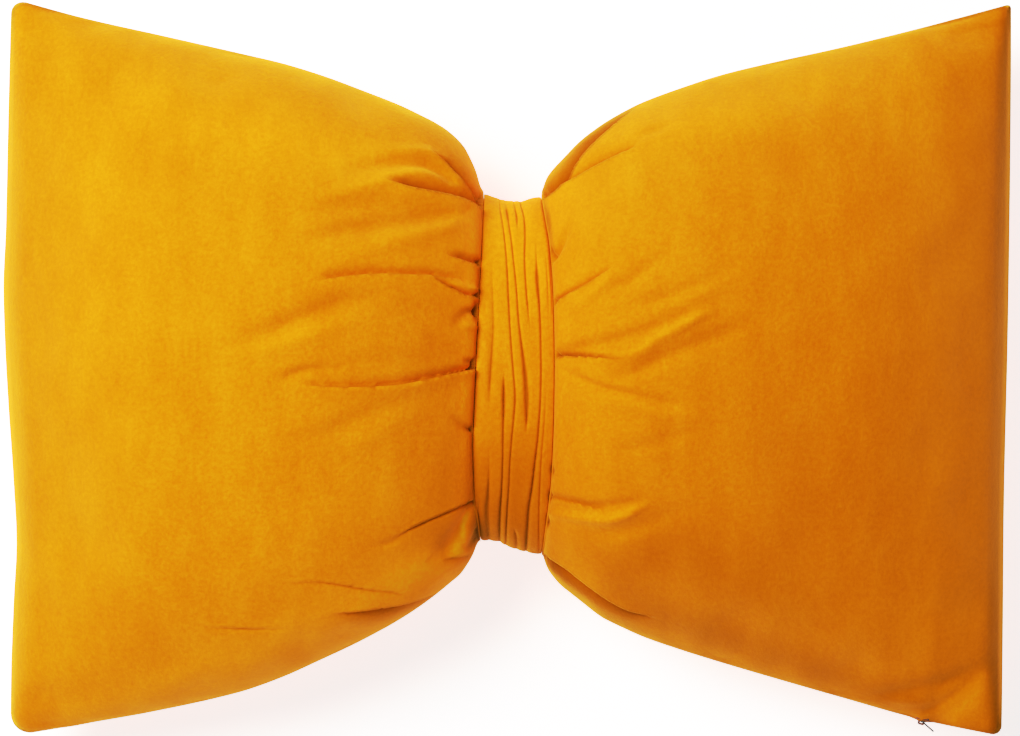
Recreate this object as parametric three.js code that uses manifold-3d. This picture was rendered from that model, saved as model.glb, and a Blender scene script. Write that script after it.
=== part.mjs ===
// A bow cushion: a filled oblong cushion, drawn in at its middle by a pleated cloth band that is wrapped
// round it, so that it stands out in two lobes like the loops of a bow. It lies on its back. The cover is
// two panels joined by one seam all round, and a concealed zip in the lower seam of the right lobe shows
// only its slider and pull.
// Millimetres. +X runs along the bow, to the right, +Y is the top of the bow and +Z is up, out of its face.
// The origin is at the middle of the bow, on the surface it lies on.
import * as THREE from "three";
import { mergeVertices } from "three/addons/utils/BufferGeometryUtils.js";
import Module from "manifold-3d";

const wasm = await Module();
wasm.setup();

// Driving sizes.
const SEAM_HEIGHT = 60; // the side seam's height above the surface, at the band
const SEAM_DROP = 10; // how far that seam sinks on its way to the outer edge
const CORNER_DROP = 5; // how much further the four corners sink
const END_SLOPE = 92; // the stretch at each outer edge over which the filling thins to nothing
const FLATTENED = 5; // half the height over which the underside turns into its flat foot
const FIT_GAP = 0.5; // clearance between one piece and the next

// The waist that the band draws in, and the band.
const WAIST = { halfDepth: 39, topLeft: 82, bottomLeft: -83, topRight: 82.5, bottomRight: -88.5 };
const BAND = { thickness: 3.4, least: 1.4, sideStep: 0.5 };

// The outer edges, from corner to corner: how far out the edge stands at each height.
const LEFT_EDGE = [
  { y: -184, x: -249 },
  { y: -156, x: -248.5 },
  { y: -118, x: -247 },
  { y: -88, x: -245.5 },
  { y: -56, x: -247 },
  { y: -16, x: -249.7 },
  { y: 14, x: -251.3 },
  { y: 40, x: -252 },
  { y: 70, x: -250.8 },
  { y: 120, x: -249.8 },
  { y: 184, x: -248.6 },
];
const RIGHT_EDGE = [
  { y: -184, x: 247.6 },
  { y: -80, x: 248.1 },
  { y: 20, x: 250.2 },
  { y: 100, x: 251.4 },
  { y: 184, x: 252.4 },
];

// Sections across a lobe, by their distance out from the band: the two seams and the swell of each face.
const LEFT_SECTIONS = [
  { out: 0, top: 88, bottom: -86, crown: 43.6, belly: 43 },
  { out: 1.5, top: 90.5, bottom: -88, crown: 45.6, belly: 45.5 },
  { out: 3.5, top: 96.5, bottom: -92.5, crown: 47.4, belly: 48.5 },
  { out: 6.5, top: 103, bottom: -97.5, crown: 49.3, belly: 52 },
  { out: 10.5, top: 110, bottom: -103, crown: 51.6, belly: 56 },
  { out: 20, top: 119, bottom: -111.5, crown: 56, belly: 61 },
  { out: 30, top: 125, bottom: -119, crown: 60.3, belly: 65 },
  { out: 40, top: 130, bottom: -125.5, crown: 64, belly: 68 },
  { out: 60, top: 138, bottom: -136.5, crown: 69, belly: 71 },
  { out: 80, top: 145.5, bottom: -146, crown: 71.8, belly: 72 },
  { out: 100, top: 151.7, bottom: -155, crown: 72.5, belly: 72 },
  { out: 120, top: 156.5, bottom: -162, crown: 71, belly: 70.5 },
  { out: 160, top: 165.8, bottom: -171.3, crown: 66.5, belly: 66 },
  { out: 200, top: 175, bottom: -178.7, crown: 61, belly: 61 },
  { out: 236, top: 185, bottom: -185, crown: 57, belly: 57 },
];
const RIGHT_SECTIONS = [
  { out: 0, top: 88, bottom: -93, crown: 43.5, belly: 43 },
  { out: 2.5, top: 94.5, bottom: -99.5, crown: 47.5, belly: 47 },
  { out: 5, top: 98, bottom: -103, crown: 50.5, belly: 50 },
  { out: 10, top: 103.5, bottom: -108.5, crown: 55.5, belly: 55 },
  { out: 20, top: 113.5, bottom: -117, crown: 62, belly: 61 },
  { out: 30, top: 121, bottom: -124.5, crown: 66.5, belly: 65 },
  { out: 40, top: 127, bottom: -129.5, crown: 69.5, belly: 68 },
  { out: 50, top: 132, bottom: -134, crown: 71.5, belly: 70 },
  { out: 70, top: 139.5, bottom: -141, crown: 73.5, belly: 72 },
  { out: 90, top: 146, bottom: -147.3, crown: 73.5, belly: 72.5 },
  { out: 110, top: 151, bottom: -153.3, crown: 72, belly: 71.5 },
  { out: 150, top: 160, bottom: -165, crown: 67, belly: 67 },
  { out: 190, top: 170, bottom: -176.3, crown: 62, belly: 62 },
  { out: 236, top: 182.5, bottom: -186, crown: 57, belly: 57 },
];

const LEFT = {
  side: -1,
  sections: LEFT_SECTIONS,
  edge: LEFT_EDGE,
  topCorner: 8,
  bottomCorner: 12,
  bandEdge: { atSeams: 13.5, atMiddle: 16.7 },
};
const RIGHT = {
  side: 1,
  sections: RIGHT_SECTIONS,
  edge: RIGHT_EDGE,
  topCorner: 2.5,
  bottomCorner: 4.5,
  bandEdge: { atSeams: 16.3, atMiddle: 23.3 },
};

// The main gathers that run out from the band, on the front (face 1) and the back (face -1). Each is a
// crease from x0, y0 to x1, y1, bowed sideways at its middle. above and below are the widths of its two
// banks, and the narrow one is the lip of the fold.
const GATHERS = [
  { face: 1, x0: -13.5, y0: 84, x1: -66, y1: 97.5, bow: 0, depth: 8, above: 9, below: 4 },
  { face: 1, x0: -13.5, y0: 35.5, x1: -91, y1: 45, bow: 7.5, depth: 6, above: 10, below: 5 },
  { face: 1, x0: -15.5, y0: 0, x1: -113, y1: -3, bow: -7.5, depth: 7, above: 11, below: 5 },
  { face: 1, x0: -17.5, y0: -66, x1: -64, y1: -87, bow: 0, depth: 7, above: 8, below: 6 },
  { face: 1, x0: -34, y0: -111, x1: -90, y1: -121, bow: -2, depth: 5, above: 4, below: 8 },
  { face: 1, x0: 17.5, y0: 84, x1: 63, y1: 127, bow: 3, depth: 8, above: 7, below: 4 },
  { face: 1, x0: 23, y0: 32, x1: 50, y1: 51, bow: 2, depth: 6, above: 8, below: 5 },
  { face: 1, x0: 23.5, y0: 6, x1: 76, y1: 5, bow: -1, depth: 7, above: 9, below: 5 },
  { face: 1, x0: 20.5, y0: -64, x1: 62, y1: -71, bow: -2, depth: 7, above: 8, below: 6 },
  { face: 1, x0: 17.5, y0: -94, x1: 62, y1: -122, bow: -2, depth: 7, above: 4, below: 7 },
  { face: -1, x0: -14, y0: 70, x1: -72, y1: 88, bow: 2, depth: 7, above: 8, below: 6 },
  { face: -1, x0: -15, y0: 22, x1: -96, y1: 30, bow: -3, depth: 7, above: 7, below: 9 },
  { face: -1, x0: -15, y0: -30, x1: -80, y1: -44, bow: 2, depth: 7, above: 9, below: 6 },
  { face: -1, x0: -14, y0: -72, x1: -66, y1: -96, bow: 0, depth: 6, above: 7, below: 7 },
  { face: -1, x0: 18, y0: 66, x1: 74, y1: 90, bow: -2, depth: 7, above: 7, below: 8 },
  { face: -1, x0: 22, y0: 16, x1: 92, y1: 18, bow: 3, depth: 7, above: 9, below: 6 },
  { face: -1, x0: 22, y0: -34, x1: 84, y1: -52, bow: -2, depth: 7, above: 6, below: 8 },
  { face: -1, x0: 18, y0: -76, x1: 70, y1: -104, bow: 1, depth: 6, above: 8, below: 6 },
];

// The band's pleats. turn is the angle round the waist in degrees: 0 at the top seam, 90 at the front,
// 180 at the bottom seam and 270 at the back. Each pleat runs from x0 to x1 and its lip is on the narrow side.
const PLEATS = [
  { from: -15, to: 205, x0: -2, x1: -7, bow: 1.5, depth: 1.7, left: 4.5, right: 1.6 },
  { from: -25, to: 120, x0: 1.5, x1: 11, bow: -1, depth: 1.7, left: 1.6, right: 4 },
  { from: 55, to: 215, x0: 15, x1: 8, bow: 1.5, depth: 1.8, left: 3.5, right: 1.6 },
  { from: 60, to: 200, x0: -8.5, x1: -11, bow: 0, depth: 1.2, left: 3.5, right: 3.5 },
  { from: -40, to: 60, x0: 14, x1: 19, bow: 0, depth: 1.3, left: 1.6, right: 2.5 },
  { from: 190, to: 375, x0: -3, x1: -4, bow: -2, depth: 1.7, left: 1.6, right: 4 },
  { from: 200, to: 350, x0: 6, x1: 4, bow: 2, depth: 1.8, left: 4, right: 1.6 },
  { from: 215, to: 335, x0: 13, x1: 15, bow: 0, depth: 1.5, left: 3, right: 2 },
  { from: 205, to: 345, x0: -10, x1: -8, bow: 0, depth: 1.3, left: 2, right: 3.5 },
];

// The zip's slider and pull, and where they stand on the lower seam of the right lobe. The slider's base is
// sunk in a pocket between the two panels, and only its arch and the pull stand out of the seam.
const ZIP = {
  out: 191,
  sunk: 2.2,
  base: { length: 7.2, width: 4.2, height: 1.8, corner: 1.2 },
  arch: { span: 3.3, height: 2.7, bar: 0.9, corner: 0.9, width: 1.6, root: 0.5 },
};
const PULL = {
  length: 8.3,
  width: 3.3,
  thickness: 0.7,
  corner: 1.3,
  eye: { length: 2.2, width: 2.3, corner: 0.4 },
  rim: 0.5,
  lift: 1.4,
  swing: 28,
};

// How fine the facets are.
const RINGS = { lobe: 23, waist: 3 };
const AROUND = 72; // even, so that each point of the front has its partner on the back
const BAND_GRID = { around: 64, across: 15 };

// Smooth curve through the values of one column of a table, against another column, by cubic pieces.
function curve(rows, by, column) {
  const at = rows.map((row) => row[by]);
  const value = rows.map((row) => row[column]);
  const last = rows.length - 1;
  const rise = (i) => (value[i + 1] - value[i]) / (at[i + 1] - at[i]);
  const slope = value.map((_, i) => {
    if (i === 0) return rise(0);
    if (i === last) return rise(last - 1);
    const [before, after] = [rise(i - 1), rise(i)];
    return before * after <= 0 ? 0 : (2 * before * after) / (before + after);
  });
  return (x) => {
    if (x <= at[0]) return value[0];
    if (x >= at[last]) return value[last];
    let i = 0;
    while (x > at[i + 1]) i += 1;
    const width = at[i + 1] - at[i];
    const t = (x - at[i]) / width;
    const start = (1 + 2 * t) * (1 - t) ** 2 * value[i] + t * (1 - t) ** 2 * width * slope[i];
    const end = t * t * (3 - 2 * t) * value[i + 1] + t * t * (t - 1) * width * slope[i + 1];
    return start + end;
  };
}

const mix = (a, b, t) => a + (b - a) * t;
const smooth = (t) => t * t * (3 - 2 * t);
const clamp01 = (t) => Math.min(1, Math.max(0, t));

// How far a rounded corner of that radius draws its edge in, at a distance from the corner.
function cornerInset(radius, distance) {
  const short = Math.max(0, radius - Math.max(0, distance));
  return radius - Math.sqrt(radius * radius - short * short);
}

// A lobe's curves, worked out once from its tables.
function prepareLobe(lobe) {
  const column = (name) => curve(lobe.sections, "out", name);
  return { ...lobe, top: column("top"), bottom: column("bottom"), crown: column("crown"), belly: column("belly"),
    edgeAt: curve(lobe.edge, "y", "x") };
}

// Where the lobe starts beside the band, and where its outer edge is, at v from -1 (bottom) to 1 (top).
const startOf = (lobe, v) => lobe.side * mix(lobe.bandEdge.atMiddle, lobe.bandEdge.atSeams, v * v);

function edgeOf(lobe, v) {
  const last = lobe.sections[lobe.sections.length - 1];
  const y = mix(last.bottom, last.top, (v + 1) / 2);
  const inset = cornerInset(lobe.topCorner, last.top - y) + cornerInset(lobe.bottomCorner, y - last.bottom);
  return lobe.edgeAt(y) - lobe.side * inset;
}

// The seam's height: it sinks towards the outer edge, and most at the corners.
function seamHeight(share, v) {
  return SEAM_HEIGHT - SEAM_DROP * smooth(share) - CORNER_DROP * share ** 3 * v ** 4;
}

// A point of a lobe's plain swell. share runs from 0 at the band to 1 at the outer edge.
function swellPoint(lobe, face, share, v) {
  const start = startOf(lobe, v);
  const length = Math.abs(edgeOf(lobe, v) - start);
  const out = length * share;
  const [top, bottom] = [lobe.top(out), lobe.bottom(out)];
  const across = Math.max(0, 1 - v * v) ** mix(0.5, 0.66, clamp01(out / 60));
  const end = 1 - (1 - Math.min(1, (length - out) / END_SLOPE)) ** 2.2;
  const swell = (face > 0 ? lobe.crown(out) : lobe.belly(out)) * across * end;
  const y = mix(bottom, top, (v + 1) / 2);
  return new THREE.Vector3(start + lobe.side * out, y, seamHeight(share, v) + face * swell);
}

// How deep the gathers cut at a point of one face.
function gatherDepth(face, x, y) {
  let depth = 0;
  for (const g of GATHERS) {
    const t = (x - g.x0) / (g.x1 - g.x0);
    if (g.face !== face || t < -0.05 || t > 1) continue;
    const run = clamp01(t);
    const slope = Math.atan2(g.y1 - g.y0, Math.abs(g.x1 - g.x0));
    const away = (y - mix(g.y0, g.y1, run) - 4 * g.bow * run * (1 - run)) * Math.cos(slope);
    const bank = (away > 0 ? g.above : g.below) * mix(0.8, 1.5, run);
    depth = Math.max(depth, g.depth * smooth(1 - run) ** 0.8 * Math.exp(-((Math.abs(away) / bank) ** 1.4)));
  }
  return depth;
}

// The underside presses flat on what it lies on: heights below -FLATTENED become 0.
function pressFlat(z) {
  if (z >= FLATTENED) return z;
  return z <= -FLATTENED ? 0 : (z + FLATTENED) ** 2 / (4 * FLATTENED);
}

// The finished point of a lobe: its swell, less the gathers along its normal, pressed flat underneath.
function lobePoint(lobe, face, share, v) {
  const point = swellPoint(lobe, face, share, v);
  const step = 0.004;
  const along = swellPoint(lobe, face, Math.min(1, share + step), v);
  along.sub(swellPoint(lobe, face, Math.max(0, share - step), v));
  const across = swellPoint(lobe, face, share, Math.min(0.9999, v + step));
  across.sub(swellPoint(lobe, face, share, Math.max(-0.9999, v - step)));
  const normal = along.cross(across).normalize();
  if (normal.z * face < 0) normal.negate();
  const fromBand = Math.abs(point.x - startOf(lobe, v));
  const calm = Math.sqrt(Math.max(0, 1 - v * v)) * clamp01((1 - share) * 4) * mix(0.4, 1, clamp01(fromBand / 8));
  point.addScaledVector(normal, -gatherDepth(face, point.x, point.y) * calm);
  point.z = pressFlat(point.z);
  return point;
}

// A point on the waist under the band, grown outwards by that much. share runs from its left end to its right.
function waistPoint(share, turn, grow) {
  const v = Math.cos(turn);
  const top = mix(WAIST.topLeft, WAIST.topRight, share) + grow;
  const bottom = mix(WAIST.bottomLeft, WAIST.bottomRight, share) - grow;
  const left = startOf(leftLobe, v) + BAND.sideStep;
  const right = startOf(rightLobe, v) - BAND.sideStep;
  const z = SEAM_HEIGHT + (WAIST.halfDepth + grow) * Math.sin(turn);
  return new THREE.Vector3(mix(left, right, share), mix(bottom, top, (v + 1) / 2), z);
}

// Triangles between rings of points, each ring closed on itself. The last ring may be joined to the first.
function skin(rings, closeEnds) {
  const geometry = new THREE.BufferGeometry();
  const around = rings[0].length;
  const index = [];
  const spans = closeEnds ? rings.length : rings.length - 1;
  for (let i = 0; i < spans; i += 1) {
    for (let j = 0; j < around; j += 1) {
      const [a, b] = [i * around + j, i * around + ((j + 1) % around)];
      const next = ((i + 1) % rings.length) * around;
      const [c, d] = [next + j, next + ((j + 1) % around)];
      index.push(a, b, c, b, d, c);
    }
  }
  const points = rings.flat().flatMap((p) => [p.x, p.y, p.z]);
  geometry.setAttribute("position", new THREE.Float32BufferAttribute(points, 3));
  geometry.setIndex(index);
  return geometry;
}

// One closed surface: shared points merged, and the triangles that then have no area left out.
function closed(geometry) {
  const merged = mergeVertices(geometry, 1e-3);
  const kept = [];
  for (let i = 0; i < merged.index.count; i += 3) {
    const [a, b, c] = [0, 1, 2].map((k) => merged.index.getX(i + k));
    if (a !== b && b !== c && a !== c) kept.push(a, b, c);
  }
  merged.setIndex(kept);
  merged.computeVertexNormals();
  return merged;
}

// The filled cushion: rings from the left edge, through the waist, to the right edge. Each ring runs over the
// front from the top seam to the bottom one, and back behind.
function cushionGeometry() {
  const turns = Array.from({ length: AROUND }, (_, j) => (2 * Math.PI * j) / AROUND);
  const lobeRing = (lobe, share) =>
    turns.map((turn) => lobePoint(lobe, turn < Math.PI ? 1 : -1, share, Math.cos(turn)));
  const shares = Array.from({ length: RINGS.lobe + 1 }, (_, i) => (1 - Math.cos((Math.PI * i) / RINGS.lobe)) / 2);
  const left = shares.map((share) => lobeRing(leftLobe, share)).reverse();
  const right = shares.map((share) => lobeRing(rightLobe, share));
  const waist = Array.from({ length: RINGS.waist + 1 }, (_, i) =>
    turns.map((turn) => waistPoint(i / RINGS.waist, turn, 0)));
  return closed(skin([...left, ...waist, ...right], false));
}

// How deep the band's pleats cut at a place, and never past its least thickness.
function pleatDepth(turn, x) {
  const degrees = THREE.MathUtils.radToDeg(turn);
  let depth = 0;
  for (const p of PLEATS) {
    for (const lap of [-360, 0, 360]) {
      const t = (degrees + lap - p.from) / (p.to - p.from);
      if (t < 0 || t > 1) continue;
      const away = x - mix(p.x0, p.x1, t) - 4 * p.bow * t * (1 - t);
      const bank = away > 0 ? p.right : p.left;
      const fade = smooth(clamp01(t * 6)) * smooth(clamp01((1 - t) * 6));
      depth = Math.max(depth, p.depth * fade * Math.exp(-((Math.abs(away) / bank) ** 1.3)));
    }
  }
  return Math.min(depth, BAND.thickness - BAND.least);
}

// The band: a closed sleeve of cloth round the waist, pleated outside and plain inside.
function bandGeometry() {
  const { around, across } = BAND_GRID;
  const inset = 0.014; // its two edges stand this share of its width inside the lobes
  const turnAt = (i) => 2 * Math.PI * (1 - i / around); // backwards, so that its faces point out
  const outside = (turn, share) => {
    const at = waistPoint(share, turn, 0);
    const roll = 1 - (2 * Math.abs(share - 0.5)) ** 8; // the folded edges are a little thinner
    return FIT_GAP + (BAND.thickness - pleatDepth(turn, at.x)) * mix(0.72, 1, roll);
  };
  const rings = Array.from({ length: around }, (_, i) => {
    const turn = turnAt(i);
    const outer = Array.from({ length: across + 1 }, (_, k) => {
      const share = mix(inset, 1 - inset, k / across);
      return waistPoint(share, turn, outside(turn, share));
    });
    const inner = [1 - inset, inset].map((share) => waistPoint(share, turn, FIT_GAP));
    return [...outer, ...inner];
  });
  return closed(skin(rings, true));
}

// A rounded rectangle, centred on the origin.
function roundedRectangle(length, width, radius) {
  const [x, y] = [length / 2, width / 2];
  const shape = new THREE.Shape();
  shape.moveTo(-x + radius, -y);
  shape.lineTo(x - radius, -y);
  shape.absarc(x - radius, -y + radius, radius, -Math.PI / 2, 0);
  shape.lineTo(x, y - radius);
  shape.absarc(x - radius, y - radius, radius, 0, Math.PI / 2);
  shape.lineTo(-x + radius, y);
  shape.absarc(-x + radius, y - radius, radius, Math.PI / 2, Math.PI);
  shape.lineTo(-x, -y + radius);
  shape.absarc(-x + radius, -y + radius, radius, Math.PI, 1.5 * Math.PI);
  return shape;
}

// A geometry as a solid that can be joined, and such a solid as a geometry again.
function solidOf(geometry) {
  const bare = geometry.clone();
  bare.deleteAttribute("normal");
  bare.deleteAttribute("uv");
  const merged = mergeVertices(bare, 1e-4);
  const vertProperties = new Float32Array(merged.attributes.position.array);
  return new wasm.Manifold(new wasm.Mesh({ numProp: 3, vertProperties, triVerts: new Uint32Array(merged.index.array) }));
}

function geometryOf(solid) {
  const mesh = solid.getMesh();
  const geometry = new THREE.BufferGeometry();
  geometry.setAttribute("position", new THREE.Float32BufferAttribute(mesh.vertProperties, 3));
  geometry.setIndex(new THREE.BufferAttribute(mesh.triVerts, 1));
  geometry.computeVertexNormals();
  return geometry;
}

// The slider: a rounded base and an arch that holds the pull. Its base lies on its own XY plane.
function sliderGeometry() {
  const { base, arch } = ZIP;
  const plate = new THREE.ExtrudeGeometry(roundedRectangle(base.length, base.width, base.corner),
    { depth: base.height, bevelEnabled: false, curveSegments: 5 });
  const half = arch.span / 2;
  const [inner, shoulder] = [half - arch.bar, arch.height - arch.corner];
  const side = new THREE.Shape();
  side.moveTo(-half, -arch.root);
  side.lineTo(-half, shoulder);
  side.absarc(-half + arch.corner, shoulder, arch.corner, Math.PI, Math.PI / 2, true);
  side.lineTo(half - arch.corner, arch.height);
  side.absarc(half - arch.corner, shoulder, arch.corner, Math.PI / 2, 0, true);
  side.lineTo(half, -arch.root);
  side.lineTo(inner, -arch.root);
  side.lineTo(inner, arch.height - arch.bar);
  side.lineTo(-inner, arch.height - arch.bar);
  side.lineTo(-inner, -arch.root);
  const staple = new THREE.ExtrudeGeometry(side, { depth: arch.width, bevelEnabled: false, curveSegments: 4 });
  staple.rotateX(Math.PI / 2);
  staple.translate(0, arch.width / 2, base.height);
  return geometryOf(solidOf(plate).add(solidOf(staple)));
}

// The pull: a flat tab with an eye. Its own origin is the middle of the eye, and the tab runs along +X.
function pullGeometry() {
  const { length, width, thickness, corner, eye, rim } = PULL;
  const tab = roundedRectangle(length, width, corner);
  const toEye = -length / 2 + rim + eye.length / 2;
  const hole = roundedRectangle(eye.length, eye.width, eye.corner).getPoints(3);
  tab.holes.push(new THREE.Path(hole.map((p) => new THREE.Vector2(p.x + toEye, p.y))));
  const geometry = new THREE.ExtrudeGeometry(tab, { depth: thickness, bevelEnabled: false, curveSegments: 5 });
  geometry.translate(-toEye, 0, -thickness / 2);
  return geometry;
}

// The cushion with the pocket for the slider's base, which clears the base all round.
function pocketedCushion(frame) {
  const { base, sunk } = ZIP;
  const room = 2 * FIT_GAP;
  const pocket = new THREE.ExtrudeGeometry(roundedRectangle(base.length + room, base.width + room, base.corner),
    { depth: sunk + room, bevelEnabled: false, curveSegments: 3 });
  pocket.translate(0, 0, -FIT_GAP);
  pocket.applyMatrix4(frame.matrix);
  return geometryOf(solidOf(cushionGeometry()).subtract(solidOf(pocket)));
}

// The slider's own frame on the lower seam: X along the seam, Z straight out from it, level with the surface.
function zipFrame() {
  const bottom = -1;
  const length = Math.abs(edgeOf(rightLobe, bottom) - startOf(rightLobe, bottom));
  const seamPoint = (out) => lobePoint(rightLobe, 1, out / length, bottom);
  const here = seamPoint(ZIP.out);
  const along = seamPoint(ZIP.out + ZIP.base.length).sub(seamPoint(ZIP.out - ZIP.base.length));
  along.z = 0;
  along.normalize();
  const outwards = new THREE.Vector3(along.y, -along.x, 0);
  const across = new THREE.Vector3().crossVectors(outwards, along);
  here.addScaledVector(outwards, -ZIP.sunk);
  const frame = new THREE.Group();
  frame.matrix.makeBasis(along, across, outwards).setPosition(here);
  frame.matrix.decompose(frame.position, frame.quaternion, frame.scale);
  return frame;
}

const VELVET = new THREE.MeshStandardMaterial({ color: 0xd98c14, roughness: 0.85, metalness: 0 });
const BAND_VELVET = new THREE.MeshStandardMaterial({ color: 0xd98a12, roughness: 0.85, metalness: 0 });
const SLIDER_PAINT = new THREE.MeshStandardMaterial({ color: 0x9c5a34, roughness: 0.5, metalness: 0.2 });
const PULL_METAL = new THREE.MeshStandardMaterial({ color: 0x5d5955, roughness: 0.4, metalness: 0.9 });

function piece(name, geometry, material) {
  const mesh = new THREE.Mesh(geometry, material);
  mesh.name = name;
  return mesh;
}

const leftLobe = prepareLobe(LEFT);
const rightLobe = prepareLobe(RIGHT);

const zip = zipFrame();
zip.add(piece("zip_slider", sliderGeometry(), SLIDER_PAINT));
const pull = piece("zip_pull", pullGeometry(), PULL_METAL);
pull.position.set((ZIP.arch.span - ZIP.arch.bar) / 2, 0, ZIP.base.height + PULL.lift);
pull.rotation.y = -THREE.MathUtils.degToRad(PULL.swing);
zip.add(pull);

const bow = new THREE.Group();
bow.add(piece("cushion", pocketedCushion(zip), VELVET));
bow.add(piece("band", bandGeometry(), BAND_VELVET));
bow.add(zip);

export default bow;
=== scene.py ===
# A bow cushion in mustard velvet: two filled lobes, drawn in at the middle by a pleated band, with a small
# zip in the lower seam. Blender works in metres. Sizes here are in millimetres until a mesh is made.
import math

import bpy
import numpy as np
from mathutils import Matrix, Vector


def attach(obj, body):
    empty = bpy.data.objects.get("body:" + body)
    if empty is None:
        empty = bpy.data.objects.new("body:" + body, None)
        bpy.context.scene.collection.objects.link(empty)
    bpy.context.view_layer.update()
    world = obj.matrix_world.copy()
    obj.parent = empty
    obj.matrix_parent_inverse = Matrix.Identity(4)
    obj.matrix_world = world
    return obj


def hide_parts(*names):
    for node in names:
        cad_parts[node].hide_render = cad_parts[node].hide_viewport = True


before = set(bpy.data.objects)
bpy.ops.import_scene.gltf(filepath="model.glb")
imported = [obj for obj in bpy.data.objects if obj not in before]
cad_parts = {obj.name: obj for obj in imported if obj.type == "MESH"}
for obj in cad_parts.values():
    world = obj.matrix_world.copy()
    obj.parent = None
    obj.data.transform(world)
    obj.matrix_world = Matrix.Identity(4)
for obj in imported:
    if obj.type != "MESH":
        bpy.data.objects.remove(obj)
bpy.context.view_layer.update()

MM = 0.001

# The camera looks straight down on the cushion's face. Its picture is 510 mm wide at the height of the
# outer edges, and its middle is a little right of the bow's middle.
PICTURE = {"width": 510.0, "height_at": 50.0, "middle_x": 1.25, "middle_y": -0.25}
LENS = {"focal": 150.0, "sensor": 36.0}
CAMERA_ABOVE = PICTURE["width"] * LENS["focal"] / LENS["sensor"]

# The driving sizes, as the cushion's solid has them: the height of the seam beside the band, its drop to
# the outer edge and on to the corners, how far in from that edge a lobe is full, how it rolls in there and
# bulges over the band, and how much of the underside is pressed flat.
SEAM_HEIGHT = 60.0
SEAM_DROP = 10.0
CORNER_DROP = 5.0
END_SLOPE = 92.0
OVER_BAND = {"most": 0.9, "from": 1.5, "to": 4.0}
END_ROLL = {"length": 14.0, "share": 0.28}
FLATTENED = 5.0
WAIST_HALF_DEPTH = 39.0
WAIST_EDGES = {
    "share": [0, 0.25, 0.45, 0.65, 0.82, 1],
    "top": [83.8, 81.2, 80.0, 79.9, 81.3, 82.3],
    "bottom": [-83.4, -83.6, -86.2, -88.2, -89.4, -90.2],
}

# The band's sleeve. Plain cloth lies below_top under the full thickness. At the sleeve's edges edge_share
# of its thickness is left, and edge_power says how suddenly the rest goes. At the seams at_seam of the
# pleats' depth shows, and more of it up to seam_reach away.
BAND = {"gap": 0.5, "thickness": 3.3, "below_top": 0.9, "least": 0.9, "side_step": 0.4, "inset": 0.006,
        "edge_share": 0.75, "edge_power": 14, "at_seam": 0.3, "seam_reach": 0.5}

# The cloth wells up beside the band: how far up, and how far outside the waist, as a share of the waist.
WELL = {"up": 3.3, "beside": 0.003}

# The outer edges, x by y, and the sections by how far out they are from the band: the seam's top and
# bottom, and how high the crown and how deep the belly are.
LEFT_EDGE = {
    "y": [-184, -156, -118, -88, -56, -16, 14, 40, 70, 120, 184],
    "x": [-249, -248.5, -247, -245.5, -247, -249.7, -251.3, -252, -250.8, -249.8, -248.6],
}
RIGHT_EDGE = {
    "y": [-184, -80, 20, 100, 184],
    "x": [247.6, 248.1, 250.2, 251.4, 252.4],
}
LEFT_SECTIONS = {
    "out": [0, 1.5, 3.5, 6.5, 10.5, 20, 30, 40, 60, 80, 100, 120, 160, 200, 236],
    "top": [88, 90.5, 96.5, 103, 110, 119, 125, 130, 138, 145.5, 151.7, 156.5, 165.8, 175, 185],
    "bottom": [-86, -88, -92.5, -97.5, -103, -111.5, -119, -125.5, -136.5, -146, -155, -162, -171.3, -178.7,
               -185],
    "crown": [42.8, 45, 47, 49.2, 51.6, 56, 60.3, 64, 69, 71.8, 72.5, 71, 66.5, 61, 57],
    "belly": [43, 45.5, 48.5, 52, 56, 61, 65, 68, 71, 72, 72, 70.5, 66, 61, 57],
}
RIGHT_SECTIONS = {
    "out": [0, 2.5, 5, 10, 20, 30, 40, 50, 70, 90, 110, 150, 190, 236],
    "top": [88, 94.5, 98, 103.5, 113.5, 121, 127, 132, 139.5, 146, 151, 160, 170, 182.5],
    "bottom": [-93, -99.5, -103, -108.5, -117, -124.5, -129.5, -134, -141, -147.3, -153.3, -165, -176.3,
               -186],
    "crown": [43.5, 47.5, 50.5, 55.5, 62, 66.5, 69.5, 71.5, 73.5, 73.5, 72, 67, 62, 57],
    "belly": [43, 47, 50, 55, 61, 65, 68, 70, 72, 72.5, 71.5, 67, 62, 57],
}

# Where the lobes start beside the band: x by v, which is -1 at the bottom seam and 1 at the top seam.
LEFT_START = {
    "v": [-1, -0.87, -0.7, -0.46, -0.18, 0.1, 0.43, 0.93, 1],
    "x": [-13.8, -15, -16.9, -17.4, -16.5, -15.6, -14.1, -12.3, -12.2],
}
RIGHT_START = {
    "v": [-1, -0.75, -0.57, -0.2, 0.05, 0.43, 0.74, 0.86, 1],
    "x": [17.4, 20.1, 21.8, 23.1, 23.35, 22.8, 20.9, 19.1, 17.2],
}

# The radius of each outer corner, and the power that rounds the upper and the lower half of a section.
# Beside the band that is a half ellipse's, and from own_at on it is the lobe's own.
LEFT = {"side": -1, "top_corner": 8.0, "bottom_corner": 12.0, "upper_round": 0.60, "lower_round": 0.48}
RIGHT = {"side": 1, "top_corner": 2.5, "bottom_corner": 5.5, "upper_round": 0.60, "lower_round": 0.72}
ROUND = {"ellipse": 0.5, "own_at": 60.0}

# The lower seam of the right lobe hangs a little lower over the zip's slider.
ZIP_FLAP = {"out": 189.8, "width": 3.2, "drop": 1.3}

# The folds are placed as the photograph shows them, in pixels of its picture from its top left corner.
# PHOTO holds where the bow's middle is there, and how many pixels make a millimetre.
PHOTO = {"middle_x": 507.5, "middle_y": 367.5, "per_mm": 2.0}

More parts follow.
